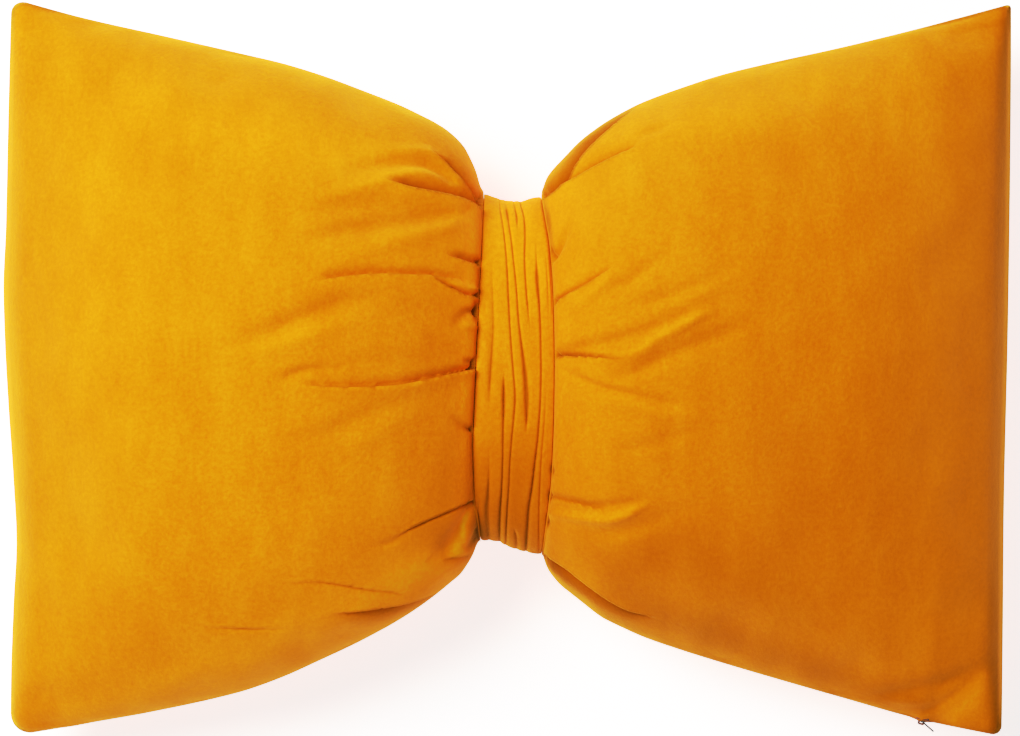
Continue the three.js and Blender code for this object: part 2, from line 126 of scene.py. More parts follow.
# The front's creases: the side of the bank, the lip, shade, reach and wall, and the path. A row of the
# path holds x and y in pixels, how far the cloth dips in there, and the width of the bank that slopes down
# to the crease, both in millimetres. On the other side the cloth rises to a lip that stands a little high.
# Shade is how much painted shade darkens the crease, and reach is how far up the bank that goes.
# Wall is how far the lip leans back, so that the rise to it shows.
CREASES = {
    "left_shoulder_deep": ("above", 0.7, 0.95, 3.4, 0, [(394, 182, 0.5, 3), (411, 187, 1.9, 4),
        (430, 190.5, 3.2, 4.6), (450, 194.5, 4.2, 4.6), (468, 200, 5, 4), (481, 208, 5.4, 3)]),
    "left_shoulder_high": ("above", 0.5, 0.3, 4, 0, [(436, 155, 0.5, 3), (446, 163, 1.5, 3.2),
        (455, 172, 2.1, 3.2), (464, 181, 2.5, 3), (473, 191, 2.8, 2.6), (482, 201, 3, 2.2)]),
    "left_short": ("above", 0.3, 0.7, 3, 0, [(450, 256, 0.3, 1.6), (460, 259, 1.5, 2.2),
        (470, 262.5, 2.4, 2.4), (482, 266.5, 3.2, 2.2)]),
    "left_upper_soft": ("above", 0.3, 0.3, 3, 0, [(322, 280, 0.3, 2.6), (336, 277.5, 1.8, 3.4),
        (362, 274.5, 2.1, 3.4), (388, 273.5, 2.1, 3), (410, 274.5, 1.9, 2.6), (431, 275, 1.7, 2),
        (447, 277.5, 1.2, 1.6), (460, 279, 0.3, 1.4)]),
    "left_upper_sharp": ("above", 0.5, 0.85, 1.2, 0, [(435, 278.5, 0.3, 1), (446, 285, 1.6, 1.2),
        (456, 290, 2.4, 1.3), (466, 295, 3, 1.4), (480, 298, 3.6, 1.4)]),
    "left_long": ("above", 0.7, 0.45, 1.6, 0.5, [(306, 385, 0.3, 3), (325, 386.5, 0.9, 3.8),
        (350, 387, 1.3, 3.8), (380, 386, 1.7, 3.4), (400, 384.5, 1.9, 3.2), (425, 380, 2.2, 2.9),
        (450, 374.5, 2.4, 2.6), (477, 369, 3, 2.2)]),
    "left_low": ("below", 0.2, 0.3, 0.8, 0, [(402, 533, 0.3, 1.1), (415, 526, 0.8, 1.1),
        (428, 520, 1.1, 1.1), (445, 513, 1.1, 1.1), (460, 506.5, 1.3, 1.1), (474, 500, 1.6, 1.1)]),
    "left_low_small": ("below", 0.4, 0.25, 2, 0, [(446, 559.5, 0.3, 1.6), (458, 557.5, 1, 2),
        (476, 553, 1.4, 2)]),
    "left_rim": ("below", 0.5, 0.4, 6, 0, [(340, 612.5, 0.3, 2), (355, 611.5, 1.3, 2.6),
        (375, 609, 2.2, 3), (395, 606, 2.6, 3), (415, 601, 2.6, 2.8), (432, 595, 2, 2.4),
        (444, 590, 1, 2)]),
    "left_faint_low": ("below", 0.1, 0.35, 0.8, 0, [(288, 583.5, 0.1, 1), (318, 582, 0.4, 1.1),
        (342, 585, 0.5, 1.2), (366, 589.5, 0.5, 1.2), (392, 592.5, 0.4, 1.2), (410, 596, 0.1, 1)]),
    "left_faint_bottom": ("below", 0.1, 0.2, 1.2, 0, [(204, 627, 0.1, 1.6), (235, 628, 0.4, 1.8),
        (262, 628.5, 0.3, 1.8), (286, 628, 0.1, 1.6)]),
    "right_rim": ("above", 0.4, 0.9, 5.5, 0, [(538, 202, 3.6, 1.8), (552, 193.5, 4.4, 2.6),
        (561, 186, 4.6, 3), (567, 178, 4.6, 3), (575, 165.5, 4.4, 3), (586, 151, 3.8, 2.8),
        (598, 139.5, 3, 2.6), (611, 128, 2.2, 2.4), (624, 117, 1.2, 2.2), (636, 108, 0.3, 2)]),
    "right_shoulder": ("above", 0.3, 0.4, 2.5, 0, [(560, 186, 2, 2), (575, 177.5, 2.2, 2.8),
        (590, 168.5, 2.1, 3.4), (605, 160.5, 1.9, 3.8), (620, 153.5, 1.5, 3.6), (631, 149, 0.9, 2.6),
        (637, 143, 0.2, 1.6)]),
    "right_upper": ("above", 0.3, 0.45, 1.6, 0, [(550, 305.5, 3.2, 1), (562, 297.5, 2.4, 1.3),
        (573, 291, 1.9, 2.2), (586, 284, 1.5, 2.8), (598, 276.5, 1.1, 2.8), (610, 268, 0.3, 2.2)]),
    "right_level": ("above", 0.15, 1, 1.6, 0, [(549, 356, 1.7, 1.3), (570, 356, 1.35, 1.7),
        (585, 356.5, 1.1, 1.7), (597, 357.2, 0.8, 1.3), (611, 358.3, 0.5, 1), (627, 358, 0.1, 0.9)]),
    "right_low": ("above", 0.2, 0.65, 2.4, 0, [(543, 495, 0.5, 1), (558, 498.5, 0.7, 1.4),
        (570, 501.5, 0.8, 1.8), (583, 505, 0.9, 2), (594, 508, 0.7, 2), (604, 510, 0.2, 1.8)]),
    "right_low_rim": ("below", 0.5, 0.5, 11, 0, [(536, 549, 3.2, 1.6), (552, 559.5, 3.8, 2.4),
        (567, 569, 4, 2.6), (581, 580, 3.8, 2.6), (596, 591.5, 3.2, 2.6), (611, 602, 2.4, 2.4),
        (628, 610.5, 1.4, 2.2), (648, 616, 0.3, 2)]),
}

# What the creases share: the gain of their depth, and the most of it; from what depth on lip and shade are
# full; the reach of bank and lip, in widths; how near a point has to be to move onto the crease; and how
# far the shade goes past it.
CREASE = {"gain": 1.45, "deepest": 6.5, "full_at": 2.0, "bank": 2.2, "lip": 1.5, "snap": 1.2, "past": 0.5}

# What a full shade leaves of the velvet's red, green and blue, and the most that any of them is.
CREASE_DARK = (0.30, 0.255, 0.18)
MOST_COLOUR = 0.95

# How far to its sides a crease or a softer fold is followed, in widths, and the steps between two of its
# rows.
CREASE_SIDES = 4
SOFT_SIDES = 3
FINE_STEPS = 14

# The front's soft ridges and dips. A row holds x and y in pixels, how high the cloth stands, or below
# nought how far it dips, and how wide that is in millimetres. SWELL_GAIN makes them all higher, and
# SWELL_SHADE is how much painted light each millimetre puts on a ridge, and painted shade in a dip.
SWELLS = [
    [(868, 694, -0.3, 3), (895, 689, -0.7, 3.4), (925, 683, -0.8, 3.6), (955, 675, -0.9, 3.6),
     (980, 664, -0.7, 3.2), (995, 655, -0.2, 3)],
    [(908, 716, -0.2, 1.6), (930, 708, -0.5, 1.8), (948, 697, -0.6, 1.8), (966, 683, -0.6, 1.8),
     (986, 667, -0.3, 1.6)],
    [(885, 697, 0.2, 2.2), (905, 699, 0.5, 2.4), (926, 700, 0.3, 2.2)],
    [(996, 650, -0.2, 2), (996, 690, -0.6, 2.2), (996, 728, -0.6, 2.2)],
    [(350, 166, -0.3, 3), (378, 160, -1.2, 3.2), (405, 158, -1.6, 3.2), (425, 160, -1.8, 3),
     (440, 167, -1.8, 2.8), (452, 176, -1.3, 2.4)],
    [(316, 197, 0.1, 3.5), (348, 187, 0.7, 3.5), (380, 178.5, 1, 3.2), (408, 171.5, 0.9, 2.8),
     (432, 173, 0.6, 2.6), (452, 181, 0.4, 2.2)],
    [(380, 148, 0.1, 3), (405, 147, 0.5, 2.6), (428, 149, 0.7, 2.4), (446, 156, 0.5, 2)],
    [(312, 206, -0.3, 5), (350, 199, -1, 5.5), (400, 201, -1.1, 5.5), (440, 208, -0.6, 5)],
    [(304, 236, -0.3, 4), (345, 225, -1.3, 4.4), (395, 217.5, -1.3, 4.4), (440, 212, -0.8, 4),
     (462, 208, -0.3, 4)],
    [(335, 258, 0.1, 4), (370, 243, 0.6, 4.4), (402, 234, 0.8, 4.2), (445, 222, 0.7, 4)],
    [(447, 283, 0.2, 1.8), (460, 284, 1, 2.2), (474, 288, 0.8, 2)],
    [(236, 337, -0.3, 5), (270, 325, -1.2, 5), (300, 312, -1.4, 5), (335, 299, -1.2, 5),
     (370, 292, -0.4, 5)],
    [(240, 352, 0.1, 4.5), (285, 338, 0.6, 4.5), (325, 325, 0.6, 4.5), (362, 314, 0.1, 4)],
    [(466, 324, 0.5, 2), (474, 325, 0.4, 2)],
    [(426, 326, -0.1, 3), (437, 337, -0.7, 3.2), (448, 344, -0.6, 3), (458, 349, -0.5, 2.8),
     (470, 356, -0.6, 2)],
    [(279, 380, -0.2, 1.8), (289, 373, -1, 2.2), (303, 368.5, -1.1, 2.2), (318, 366.5, -0.7, 2.6),
     (335, 366, -0.3, 3)],
    [(285, 437, -0.1, 4), (318, 430, -0.4, 4.8), (350, 416, -0.5, 4.8), (390, 401, -0.4, 4.6),
     (430, 392, -0.1, 4)],
    [(340, 450, 0.1, 4), (366, 435, 0.3, 4.2), (392, 420, 0.1, 4)],
    [(374, 544, -0.1, 1.6), (388, 541.5, -0.5, 1.9), (402, 535, -0.3, 1.6)],
    [(436, 552, -0.4, 4), (450, 539, -1.8, 4.6), (461, 522, -1.8, 3.6), (467, 510, -1.2, 2.6)],
    [(82, 101, -0.2, 7), (106, 73, -0.5, 7), (129, 47, -0.2, 7)],
    [(141, 136, -0.2, 8), (176, 111, -0.5, 8), (211, 87, -0.2, 8)],
    [(70, 481, -0.3, 5), (81, 570, -0.3, 5)],
    [(640, 133, -0.3, 2.2), (656, 127, -0.5, 2.2), (672, 121, -0.1, 2.2)],
    [(548, 260, -3, 1.3), (554, 253, -1.9, 1.5), (560, 243, -1.1, 1.7), (567, 227, -0.2, 1.8)],
    [(578, 302, 0.3, 2.2), (592, 291, 0.6, 2.2), (605, 279, 0.5, 2.2), (617, 267, 0.1, 2.2)],
    [(604, 292, -0.3, 3.2), (620, 281, -0.7, 3.4), (640, 268, -0.7, 3.4), (668, 249, -0.1, 3.4)],
    [(562, 349, -0.9, 3), (590, 342, -1.1, 3.4), (620, 335, -1.1, 3.6), (650, 325, -0.9, 3.4),
     (686, 311, -0.5, 2.8)],
    [(606, 357, 0.3, 2.2), (625, 354, 0.8, 2.6), (643, 346, 1, 2.8), (654, 337, 1.1, 2.8),
     (672, 328, 1.1, 2.8), (692, 317, 1.2, 2.6), (708, 309, 0.4, 2.4)],
    [(612, 373, -0.3, 3), (632, 369, -0.9, 3.4), (650, 360, -1.2, 3.8), (668, 350, -1.2, 4.4),
     (690, 341, -1.1, 4.6), (716, 332, -0.9, 4.4), (746, 319, -0.3, 4)],
    [(650, 309, 0.1, 3), (676, 300, 0.4, 3.2), (700, 291, 0.5, 3.2), (726, 279, 0.1, 3)],
    [(630, 302, -0.2, 3), (660, 294, -0.6, 3), (690, 284, -0.4, 3), (730, 262, -0.2, 4)],
    [(568, 371, -0.3, 2), (585, 378.5, -0.8, 2), (601, 385, -0.9, 2), (617, 389, -0.8, 2.2),
     (636, 393.5, -0.8, 2.4), (656, 399, -0.6, 2.6), (682, 404, -0.1, 2.8)],
    [(590, 398, 0.1, 3), (625, 399, 0.5, 3.6), (655, 409, 0.6, 3.6), (692, 412, 0.2, 3.6)],
    [(612, 449, -0.1, 4), (645, 441, -0.5, 4), (676, 432, -0.4, 4), (705, 425, -0.1, 4)],
    [(598, 503, -0.5, 2.2), (618, 502.5, -0.8, 2.2), (642, 499, -0.2, 2.2)],
    [(556, 512, 0.5, 2.2), (580, 515, 1, 2.4), (603, 517, 1.3, 2.6), (621, 514.5, 1.2, 2.4),
     (636, 507, 0.9, 2.2), (648, 500, 0.2, 1.8)],
    [(592, 530, -0.2, 3), (612, 529, -0.7, 3.6), (634, 524, -0.8, 4), (658, 514, -0.5, 4.4),
     (700, 498, -0.1, 4.4)],
    [(952, 31, -0.2, 2.6), (983, 26, -0.7, 2.6), (1012, 20.5, -0.9, 2.6)],
]
SWELL_GAIN = 1.4
SWELL_SHADE = 0.05

# How far, in widths, a ridge or dip lies below its row, so that the side that shows best is on the row.
FLANK = 0.6

# The small deep hollows where the cloth tucks in under the band. A row has the depth in place of the
# height, and HOLLOW_SHADE is how much painted shade each millimetre of depth puts inside.
HOLLOWS = [
    [(454, 322, 0.3, 2.2), (462, 315, 0.8, 2.2), (469, 311, 1.2, 2), (476, 312, 1.8, 1.5)],
    [(476, 303, 1, 1), (477, 312, 2.2, 1.4), (476, 318, 1, 1)],
    [(466, 361, 0.8, 1.2), (474, 362, 1.8, 1.6), (476, 366, 1.8, 1.3)],
    [(455, 418, 0.3, 2), (463, 425, 0.6, 2), (469, 429, 1.2, 1.5), (474, 430, 2, 1.3)],
    [(479, 262, 0.7, 1), (479, 283, 0.5, 0.8), (478, 296, 1.2, 1)],
    [(481.5, 205, 0.3, 0.8), (482, 213, 0.8, 0.8), (482, 221, 0.3, 0.7)],
    [(469, 547, 0.6, 1.6), (475, 540, 1.6, 1.8), (477, 530, 1, 1.2)],
    [(549, 258, 1.8, 1.1), (551, 250, 0.8, 1.1)],
    [(551, 466, 0.5, 1), (551.5, 470, 1, 1.2), (551, 475, 0.5, 1)],
    [(549, 492, 0.5, 1), (549.5, 496, 1, 1.2), (549, 500, 0.5, 1)],
    [(547, 517, 0.5, 1), (547.5, 521, 1, 1.2), (547, 525, 0.5, 1)],
    [(553, 356.5, 1.8, 1.2), (560, 356.5, 0.6, 0.9)],
    [(552, 304, 1.6, 1.1), (557, 301, 0.6, 0.9)],
]
HOLLOW_SHADE = 0.45

# Along the seams the velvet is darker, partly as the seam's own line and partly as painted shade where
# the edge rolls under: by how much, and how far above or below them, in millimetres.
SEAM_SHADE = {"dark": 0.4, "reach": 1.3}

# How far the front's shades go on past a seam onto the back.
SHADE_PAST_SEAM = 20.0

# Soft marks of painted shade and painted light, partly where the pile leans another way. A row holds x and
# y in pixels, how much darker the velvet is there, or below nought lighter, and how wide the mark is.
PAINTED_LIGHT_AND_SHADE = [
    [(30, 60, 0.08, 16), (34, 200, 0.09, 18), (30, 340, 0.07, 18), (30, 480, 0.06, 16),
     (34, 620, 0.03, 14)],
    [(60, 720, -0.08, 8), (150, 690, -0.13, 10), (230, 662, -0.18, 12), (300, 632, -0.18, 13),
     (360, 604, -0.28, 13), (420, 572, -0.38, 12), (450, 566, -0.46, 9), (466, 545, -0.42, 7)],
    [(250, 560, -0.06, 22), (330, 520, -0.1, 22), (410, 480, -0.08, 20)],
    [(400, 110, 0.04, 8), (430, 128, 0.14, 8), (452, 150, 0.12, 6), (470, 176, 0.1, 4)],
    [(150, 110, -0.06, 16), (240, 130, -0.08, 18), (330, 150, -0.1, 14), (400, 165, -0.08, 9)],
    [(475, 507, -0.3, 1.2), (469, 518, -0.75, 2), (466, 530, -0.5, 1.8), (466, 541, -0.1, 1.4)],
    [(1009, 6, 0.3, 3), (1007, 60, 0.6, 4), (1002, 300, 0.65, 4), (997, 600, 0.6, 3.6),
     (996, 730, 0.5, 3.2)],
    [(470, 150, -0.3, 4), (476, 180, -0.35, 4.5), (474, 230, -0.3, 5), (470, 300, -0.32, 5.5),
     (466, 400, -0.34, 5.5), (462, 480, -0.36, 5.5), (458, 550, -0.4, 5.5)],
    [(479, 518, 0.3, 1.6), (479, 530, 1, 2.2), (482, 545, 1.3, 2.6)],
    [(300, 362, 0.05, 7), (360, 356, 0.08, 6), (440, 352, 0.06, 5)],
    [(300, 300, 0.03, 8), (370, 300, 0.05, 9), (440, 305, 0.06, 7)],
    [(512, 196, -0.17, 24), (512, 260, -0.15, 24), (513, 330, -0.06, 24), (513, 400, 0, 24)],
    [(511, 420, 0.06, 24), (509, 470, 0.3, 24), (508, 520, 0.46, 24), (508, 540, 0.6, 24),
     (508, 556, 0.8, 24)],
    [(905, 90, -0.12, 16), (935, 200, -0.12, 17), (940, 320, -0.13, 17), (940, 440, -0.13, 16),
     (935, 560, -0.08, 14), (920, 640, -0.04, 12)],
    [(640, 140, -0.08, 10), (720, 120, -0.1, 12), (800, 90, -0.1, 12)],
    [(770, 440, 0.08, 20), (810, 470, 0.1, 24), (790, 560, 0.12, 22)],
    [(590, 545, 0.1, 9), (620, 568, 0.2, 12), (680, 560, 0.2, 18), (760, 600, 0.14, 18),
     (850, 640, 0.06, 14)],
    [(543, 202, 0.5, 1.2), (547, 216, 0.7, 1.3), (549.5, 230, 0.6, 1.2), (551.5, 250, 0.3, 1)],
    [(550.5, 464, 0.3, 0.8), (551, 470, 0.9, 0.9), (550.5, 475, 0.3, 0.8)],
    [(548.5, 490, 0.3, 0.8), (549, 496, 0.9, 0.9), (548.5, 502, 0.3, 0.8)],
    [(546.5, 515, 0.3, 0.8), (547, 521, 0.9, 0.9), (546.5, 526, 0.3, 0.8)],
    [(541, 192, 0.1, 2), (553, 170, 0.12, 2.4), (574, 146, 0.1, 2.4), (600, 126, 0.05, 2.2)],
    [(610, 590, 0.14, 8), (650, 612, 0.34, 10), (720, 641, 0.38, 11), (800, 668, 0.32, 10),
     (880, 696, 0.3, 8), (920, 706, 0.2, 6)],
    [(541, 556, 0.4, 2), (560, 580, 0.65, 2.8), (590, 606, 0.6, 2.8), (620, 624, 0.45, 2.5),
     (680, 648, 0.22, 2.4), (780, 680, 0.18, 2.4), (900, 713, 0.12, 2.2)],
    [(942, 724, -0.12, 4), (960, 710, -0.26, 6), (975, 694, -0.28, 5.5), (983, 676, -0.22, 3)],
    [(996, 640, 0.02, 2.4), (995, 700, 0.1, 2.8), (995, 730, 0.12, 2.8)],
    [(870, 690, 0.03, 4), (905, 686, 0.09, 4.5), (945, 678, 0.09, 4.5), (985, 660, 0.05, 4)],
]

# The gathers of the back, which nothing shows, as plain creases. A row holds x and y of the start, x and y
# of the end, how far up it bows between them, how deep it is, and how wide its upper and its lower side
# are.
BACK_FOLDS = [
    (-13.6, 72, -74, 92, 2, 4.6, 5.0, 2.0),
    (-15.0, 46, -62, 54, -1.5, 3.2, 2.0, 5.0),
    (-15.4, 20, -104, 28, -4, 4.8, 2.2, 6.5),
    (-15.6, -8, -58, -10, 1, 3.0, 4.0, 1.8),
    (-15.4, -31, -92, -47, 3, 4.6, 6.5, 2.0),
    (-14.4, -56, -56, -72, 0, 3.4, 2.0, 4.5),
    (-13.6, -76, -66, -100, -1, 4.2, 4.5, 2.0),
    (17.0, 75, 66, 101, -1, 4.2, 5.0, 2.0),
    (19.0, 58, 74, 76, -2, 3.6, 2.0, 5.5),
    (21.6, 30, 62, 37, 1, 3.2, 4.0, 1.8),
    (22.6, 10, 98, 10, 4, 4.8, 6.5, 2.2),
    (22.0, -18, 60, -24, -1, 3.0, 1.8, 4.0),
    (20.8, -40, 88, -58, -3, 4.6, 2.0, 6.0),
    (18.0, -66, 58, -86, 1, 3.4, 4.5, 2.0),
    (16.4, -82, 64, -112, 0, 4.2, 5.0, 2.0),
]

# How deep and how wide the back's creases are at the start and in the middle, as shares of their rows',
# how deep they end in millimetres, and their lip and shade.
BACK_CREASE = {"depths": (0.8, 0.5), "widths": (0.5, 0.8), "last_depth": 0.2, "lip": 0.5, "shade": 0.4}

# The band's pleats, as cracks between flat folds. A row holds x and y in pixels, and how deep the crack is
# there and how wide each of its sides is in millimetres. Past the two seams, y counts on round the waist.
PLEATS = {
    "main_left": [(499, 170, 0.1, 0.5), (499.5, 188, 0.7, 0.5), (500, 204, 0.9, 0.5),
        (504, 230, 0.9, 0.5), (507, 260, 0.9, 0.5), (508.5, 290, 1, 0.5), (510, 320, 1, 0.5),
        (512, 350, 1, 0.5), (514, 375, 1, 0.5), (515.5, 395, 1.1, 0.6), (514.5, 415, 1.1, 0.6),
        (512.5, 435, 1, 0.5), (510.5, 460, 1, 0.5), (509, 490, 1, 0.6), (507, 520, 1.3, 0.7),
        (506, 545, 1.4, 0.8), (505, 575, 0.1, 0.8)],
    "main_right": [(505, 175, 0.1, 0.5), (506, 203, 0.6, 0.5), (507.5, 212, 1.8, 0.9),
        (509, 222, 1.1, 0.6), (511.5, 238, 1, 0.5), (514, 260, 1, 0.5), (517, 290, 1, 0.5),
        (519, 320, 1.1, 0.5), (522, 345, 1.4, 0.6), (525, 368, 2.3, 0.9), (527, 395, 2.9, 1),
        (527, 416, 2, 0.8), (526.5, 431, 0.1, 0.5)],
    "upper_short": [(512, 180, 0.1, 0.5), (514, 203, 0.9, 0.5), (516.5, 213, 1.4, 0.6),
        (517.5, 221, 1, 0.6), (517.5, 228, 0.1, 0.4)],
    "upper_long": [(517, 178, 0.1, 0.5), (520.5, 203, 1.4, 0.6), (524, 215, 1.1, 0.5),
        (525.5, 235, 1, 0.5), (525, 255, 1, 0.5), (526, 280, 1, 0.5), (528, 305, 1, 0.5),
        (530, 324, 0.1, 0.4)],
    "right_long": [(536, 238, 0.1, 0.6), (537, 262, 0.8, 0.6), (537.5, 275, 2.4, 0.8),
        (538.5, 290, 2.3, 0.7), (540, 310, 1.3, 0.5), (541, 335, 1, 0.5), (541.5, 370, 1, 0.5),
        (541, 395, 1, 0.5), (540, 415, 1.1, 0.5), (538, 440, 1.2, 0.6), (535, 465, 1.5, 0.7),
        (532, 490, 1.7, 0.8), (529, 510, 1.9, 0.9), (527.5, 530, 1.9, 1), (526, 552, 1.9, 1),
        (525, 580, 0.1, 1)],
    "right_border": [(541, 192, 0.1, 0.6), (543, 204, 1.4, 0.9), (546, 217, 1.7, 0.9),
        (549, 238, 1.6, 0.8), (550.5, 262, 1.3, 0.7), (552, 292, 0.8, 0.5), (553, 320, 0.1, 0.5)],
    "right_faint_high": [(546, 255, 0.1, 0.5), (548, 285, 0.5, 0.5), (549, 318, 0.1, 0.5)],
    "right_faint_low": [(546, 395, 0.1, 0.5), (544.5, 425, 0.5, 0.5), (542, 455, 0.6, 0.5),
        (540.5, 480, 0.7, 0.5), (539.5, 505, 0.7, 0.5), (539, 550, 0.6, 0.5)],
    "middle_low": [(504, 376, 0.1, 0.5), (504, 392, 2, 0.8), (504, 408, 2, 0.8), (503.5, 430, 1.2, 0.6),
        (503, 465, 1.2, 0.6), (502, 490, 1.4, 0.7), (500.5, 512, 1.9, 0.9), (499.5, 545, 1.9, 1),
        (499, 575, 0.1, 1)],
    "left_soft": [(491, 258, 0.1, 1.6), (493, 300, 0.7, 1.8), (493.5, 330, 0.9, 1.8),
        (492, 355, 1.1, 1.6), (490.5, 380, 1.2, 1.3), (489, 406, 0.1, 1.2)],
    "left_low": [(489, 452, 0.1, 1.2), (489, 480, 0.9, 1), (488, 500, 1.9, 1.2), (487, 515, 2.1, 1.5),
        (489, 545, 2.1, 1.6), (489, 575, 0.1, 1.4)],
    "left_low_edge": [(479, 497, 0.1, 0.8), (478, 515, 1.3, 1), (480, 545, 1.5, 1.2), (480, 570, 0.1, 1)],
    "low_short": [(514, 529, 0.1, 0.8), (516, 537, 1.1, 1), (516, 555, 1.1, 1), (516, 580, 0.1, 1)],
}

# The pleats of the band's back, which nothing shows. A row holds x, the turn round the waist in degrees,
# with 180 at the bottom seam and 270 at the back, and then depth and width as above.
BACK_PLEATS = {
    "back_left": [(-9, 205, 0.1, 1.2), (-6.4, 240, 1.5, 0.8), (-7, 300, 1.5, 0.8), (-8.6, 340, 0.1, 0.8)],
    "back_middle": [(1.8, 195, 0.1, 0.8), (0.4, 235, 1.3, 0.6), (1.4, 290, 1.6, 0.9), (0, 352, 0.1, 0.8)],
    "back_right": [(9.4, 215, 0.1, 0.8), (11.6, 255, 1.6, 0.9), (12.6, 310, 1.2, 0.6), (10, 350, 0.1, 0.8)],
}

# What the pleats share: how far aside a crack is followed, how it fades past its end, and how sharp its
# bottom is; the step up to its left side, with its reach and where it starts; and the shade for each
# millimetre of depth past dark_from, with its most and its width, as a share of the crack's.
PLEAT = {"sides": 6.0, "past_end": 2.0, "sharp": 1.3, "step": 0.3, "step_reach": 2.2, "step_from": 0.6,
         "dark": 0.35, "dark_from": 0.8, "darkest": 0.6, "dark_width": 0.7}

# How many millimetres a place on the band moves on for each radian round the waist.
ROUND_WAIST = 68.0

# Faint unevenness of the cloth, in layers: how high, how long the waves are, and the seed.
UNEVEN_LOBES = [(0.28, 46, 3), (0.14, 21, 4)]
UNEVEN_BAND = [(0.10, 30, 8), (0.06, 9, 9)]
NOISE = {"waves": 9, "divided_by": 5, "shortest": 0.75, "longest": 1.6}

# How steeply the folds rise from the seams and from the outer edge, and the seams' shade from the band,
# and how far from the band sideways moves are full. A fold sinks to past below the waist's height at most.
# Near the seams it is a share of that, and least is the smallest.
START = {"seams": 4, "edge": 9, "seam_shade": 12, "from_band": 3}
SINK = {"past": 2.5, "least": 0.45}

# The step by which the direction of the surface is taken, and how near to the seams.
DIRECTION = {"step": 0.003, "last": 0.99995}

# How fine the meshes are: rings out from the band, steps over the back of each ring, and steps of the
# front for each of those. A face becomes two triangles where its diagonals differ by SPLIT_STEP in height.
CUSHION_GRID = {"rings": 120, "back": 56, "front_per_back": 6, "waist": 3}
BAND_GRID = {"around": 300, "across": 132, "edge": 5}
SPLIT_STEP = 0.4

# The power that draws the rings towards the band, and the shares of even spacing in the rings and the
# turns.
SPACING = {"power": 2.2, "even_rings": 0.35, "even_turns": 0.35}

# The cloth simulation of each lobe's cover, held at its seams and under the band. rings and turns are the
# steps of its mesh. calm is how often the result is evened out, and broad how wide a swell is left out of
# it, in steps, as the sections already have that. No point moves further than cap, and front and back are
# the shares of the movement that each face shows. The cover is cut 2 % larger than the filling, so
# shrink_min is negative.
SETTLING = {"rings": 44, "turns": 64, "frames": 20, "calm": 1, "broad": 40, "cap": 2.2, "front": 0.5,
            "back": 1.0}
CLOTH = {
    "vertex_group_mass": "held", "quality": 6, "mass": 0.3, "tension_stiffness": 15.0,
    "compression_stiffness": 15.0, "shear_stiffness": 7.5, "bending_stiffness": 5.0, "use_pressure": True,
    "uniform_pressure_force": 4.0, "shrink_min": -0.02,
}

# The picture's tones: how bright each brightness of the scene is shown. It has the photograph's contrast.
TONES = [(0.072, 0.080), (0.126, 0.147), (0.18, 0.235), (0.27, 0.388), (0.45, 0.59), (0.723, 0.725),
         (1.0, 0.81), (1.2, 0.875), (1.4, 0.945), (1.6, 0.985), (1.8, 1.0)]
TONE_WHITE = 1.8

# The studio's light, with lengths in metres, the strength of the sky, and half the floor's width in
# millimetres.
KEY_LIGHT = {"place": (-0.763, 0.441, 1.214), "size": 0.9, "power": 25.5}
SKY_STRENGTH = 0.20
FLOOR_HALF = 3000.0

# How much darker, lighter, smoother and rougher the zip's metal gets where it is worn.
WEAR = {"dark": 0.75, "light": 1.3, "smooth": 0.08, "rough": 0.12}


def through(at, value, slope):
    """A reader of the smooth curve through values, with those slopes."""

    def read(x):
        i = np.clip(np.searchsorted(at, x, side="right") - 1, 0, len(at) - 2)
        width = at[i + 1] - at[i]
        t = (x - at[i]) / width
        start = (1 + 2 * t) * (1 - t) ** 2 * value[i] + t * (1 - t) ** 2 * width * slope[i]
        end = t * t * (3 - 2 * t) * value[i + 1] + t * t * (t - 1) * width * slope[i + 1]
        return start + end

    return read


def curve(at, value):
    """A smooth curve through a table's values, without overshoot, and level past their ends."""
    at, value = np.asarray(at, float), np.asarray(value, float)
    rise = np.diff(value) / np.diff(at)
    slope = np.empty_like(value)
    slope[0], slope[-1] = rise[0], rise[-1]
    before, after = rise[:-1], rise[1:]
    same = before * after > 0
    total = np.where(same, before + after, 1.0)
    slope[1:-1] = np.where(same, 2 * before * after / total, 0.0)
    read = through(at, value, slope)
    return lambda x: read(np.clip(x, at[0], at[-1]))


def curve_through(at, value):
    """A smooth curve through a path's places, which may overshoot a little."""
    return through(at, value, np.gradient(value, at))


def mix(a, b, t):
    return a + (b - a) * t


def smooth(t):
    t = np.clip(t, 0.0, 1.0)
    return t * t * (3 - 2 * t)


def bell(t):
    """One at nought, and fading to nothing on both sides."""
    return np.exp(-(t**2))


def dome(v):
    """A half circle's height: nought at the seams and one between them."""
    return np.sqrt(np.maximum(0.0, 1 - v * v))


def between(values, at):
    """Values at fractional places along the first axis, by smooth cubic pieces."""
    first = np.clip(at.astype(int), 0, len(values) - 2)
    t = (at - first).reshape(-1, *[1] * (values.ndim - 1))
    a, b, c, d = (values[np.clip(first + k, 0, len(values) - 1)] for k in (-1, 0, 1, 2))
    return 0.5 * (2 * b + (c - a) * t + (2 * a - 5 * b + 4 * c - d) * t**2 + (3 * b - a - 3 * c + d) * t**3)


def evened(field, times):
    """A grid of values evened out with its neighbours that many times. Its border stays as it is."""
    field = field.copy()
    for _ in range(times):
        for axis in (0, 1):
            lines = np.moveaxis(field, axis, 0)
            lines[1:-1] = 0.25 * lines[:-2] + 0.5 * lines[1:-1] + 0.25 * lines[2:]
    return field


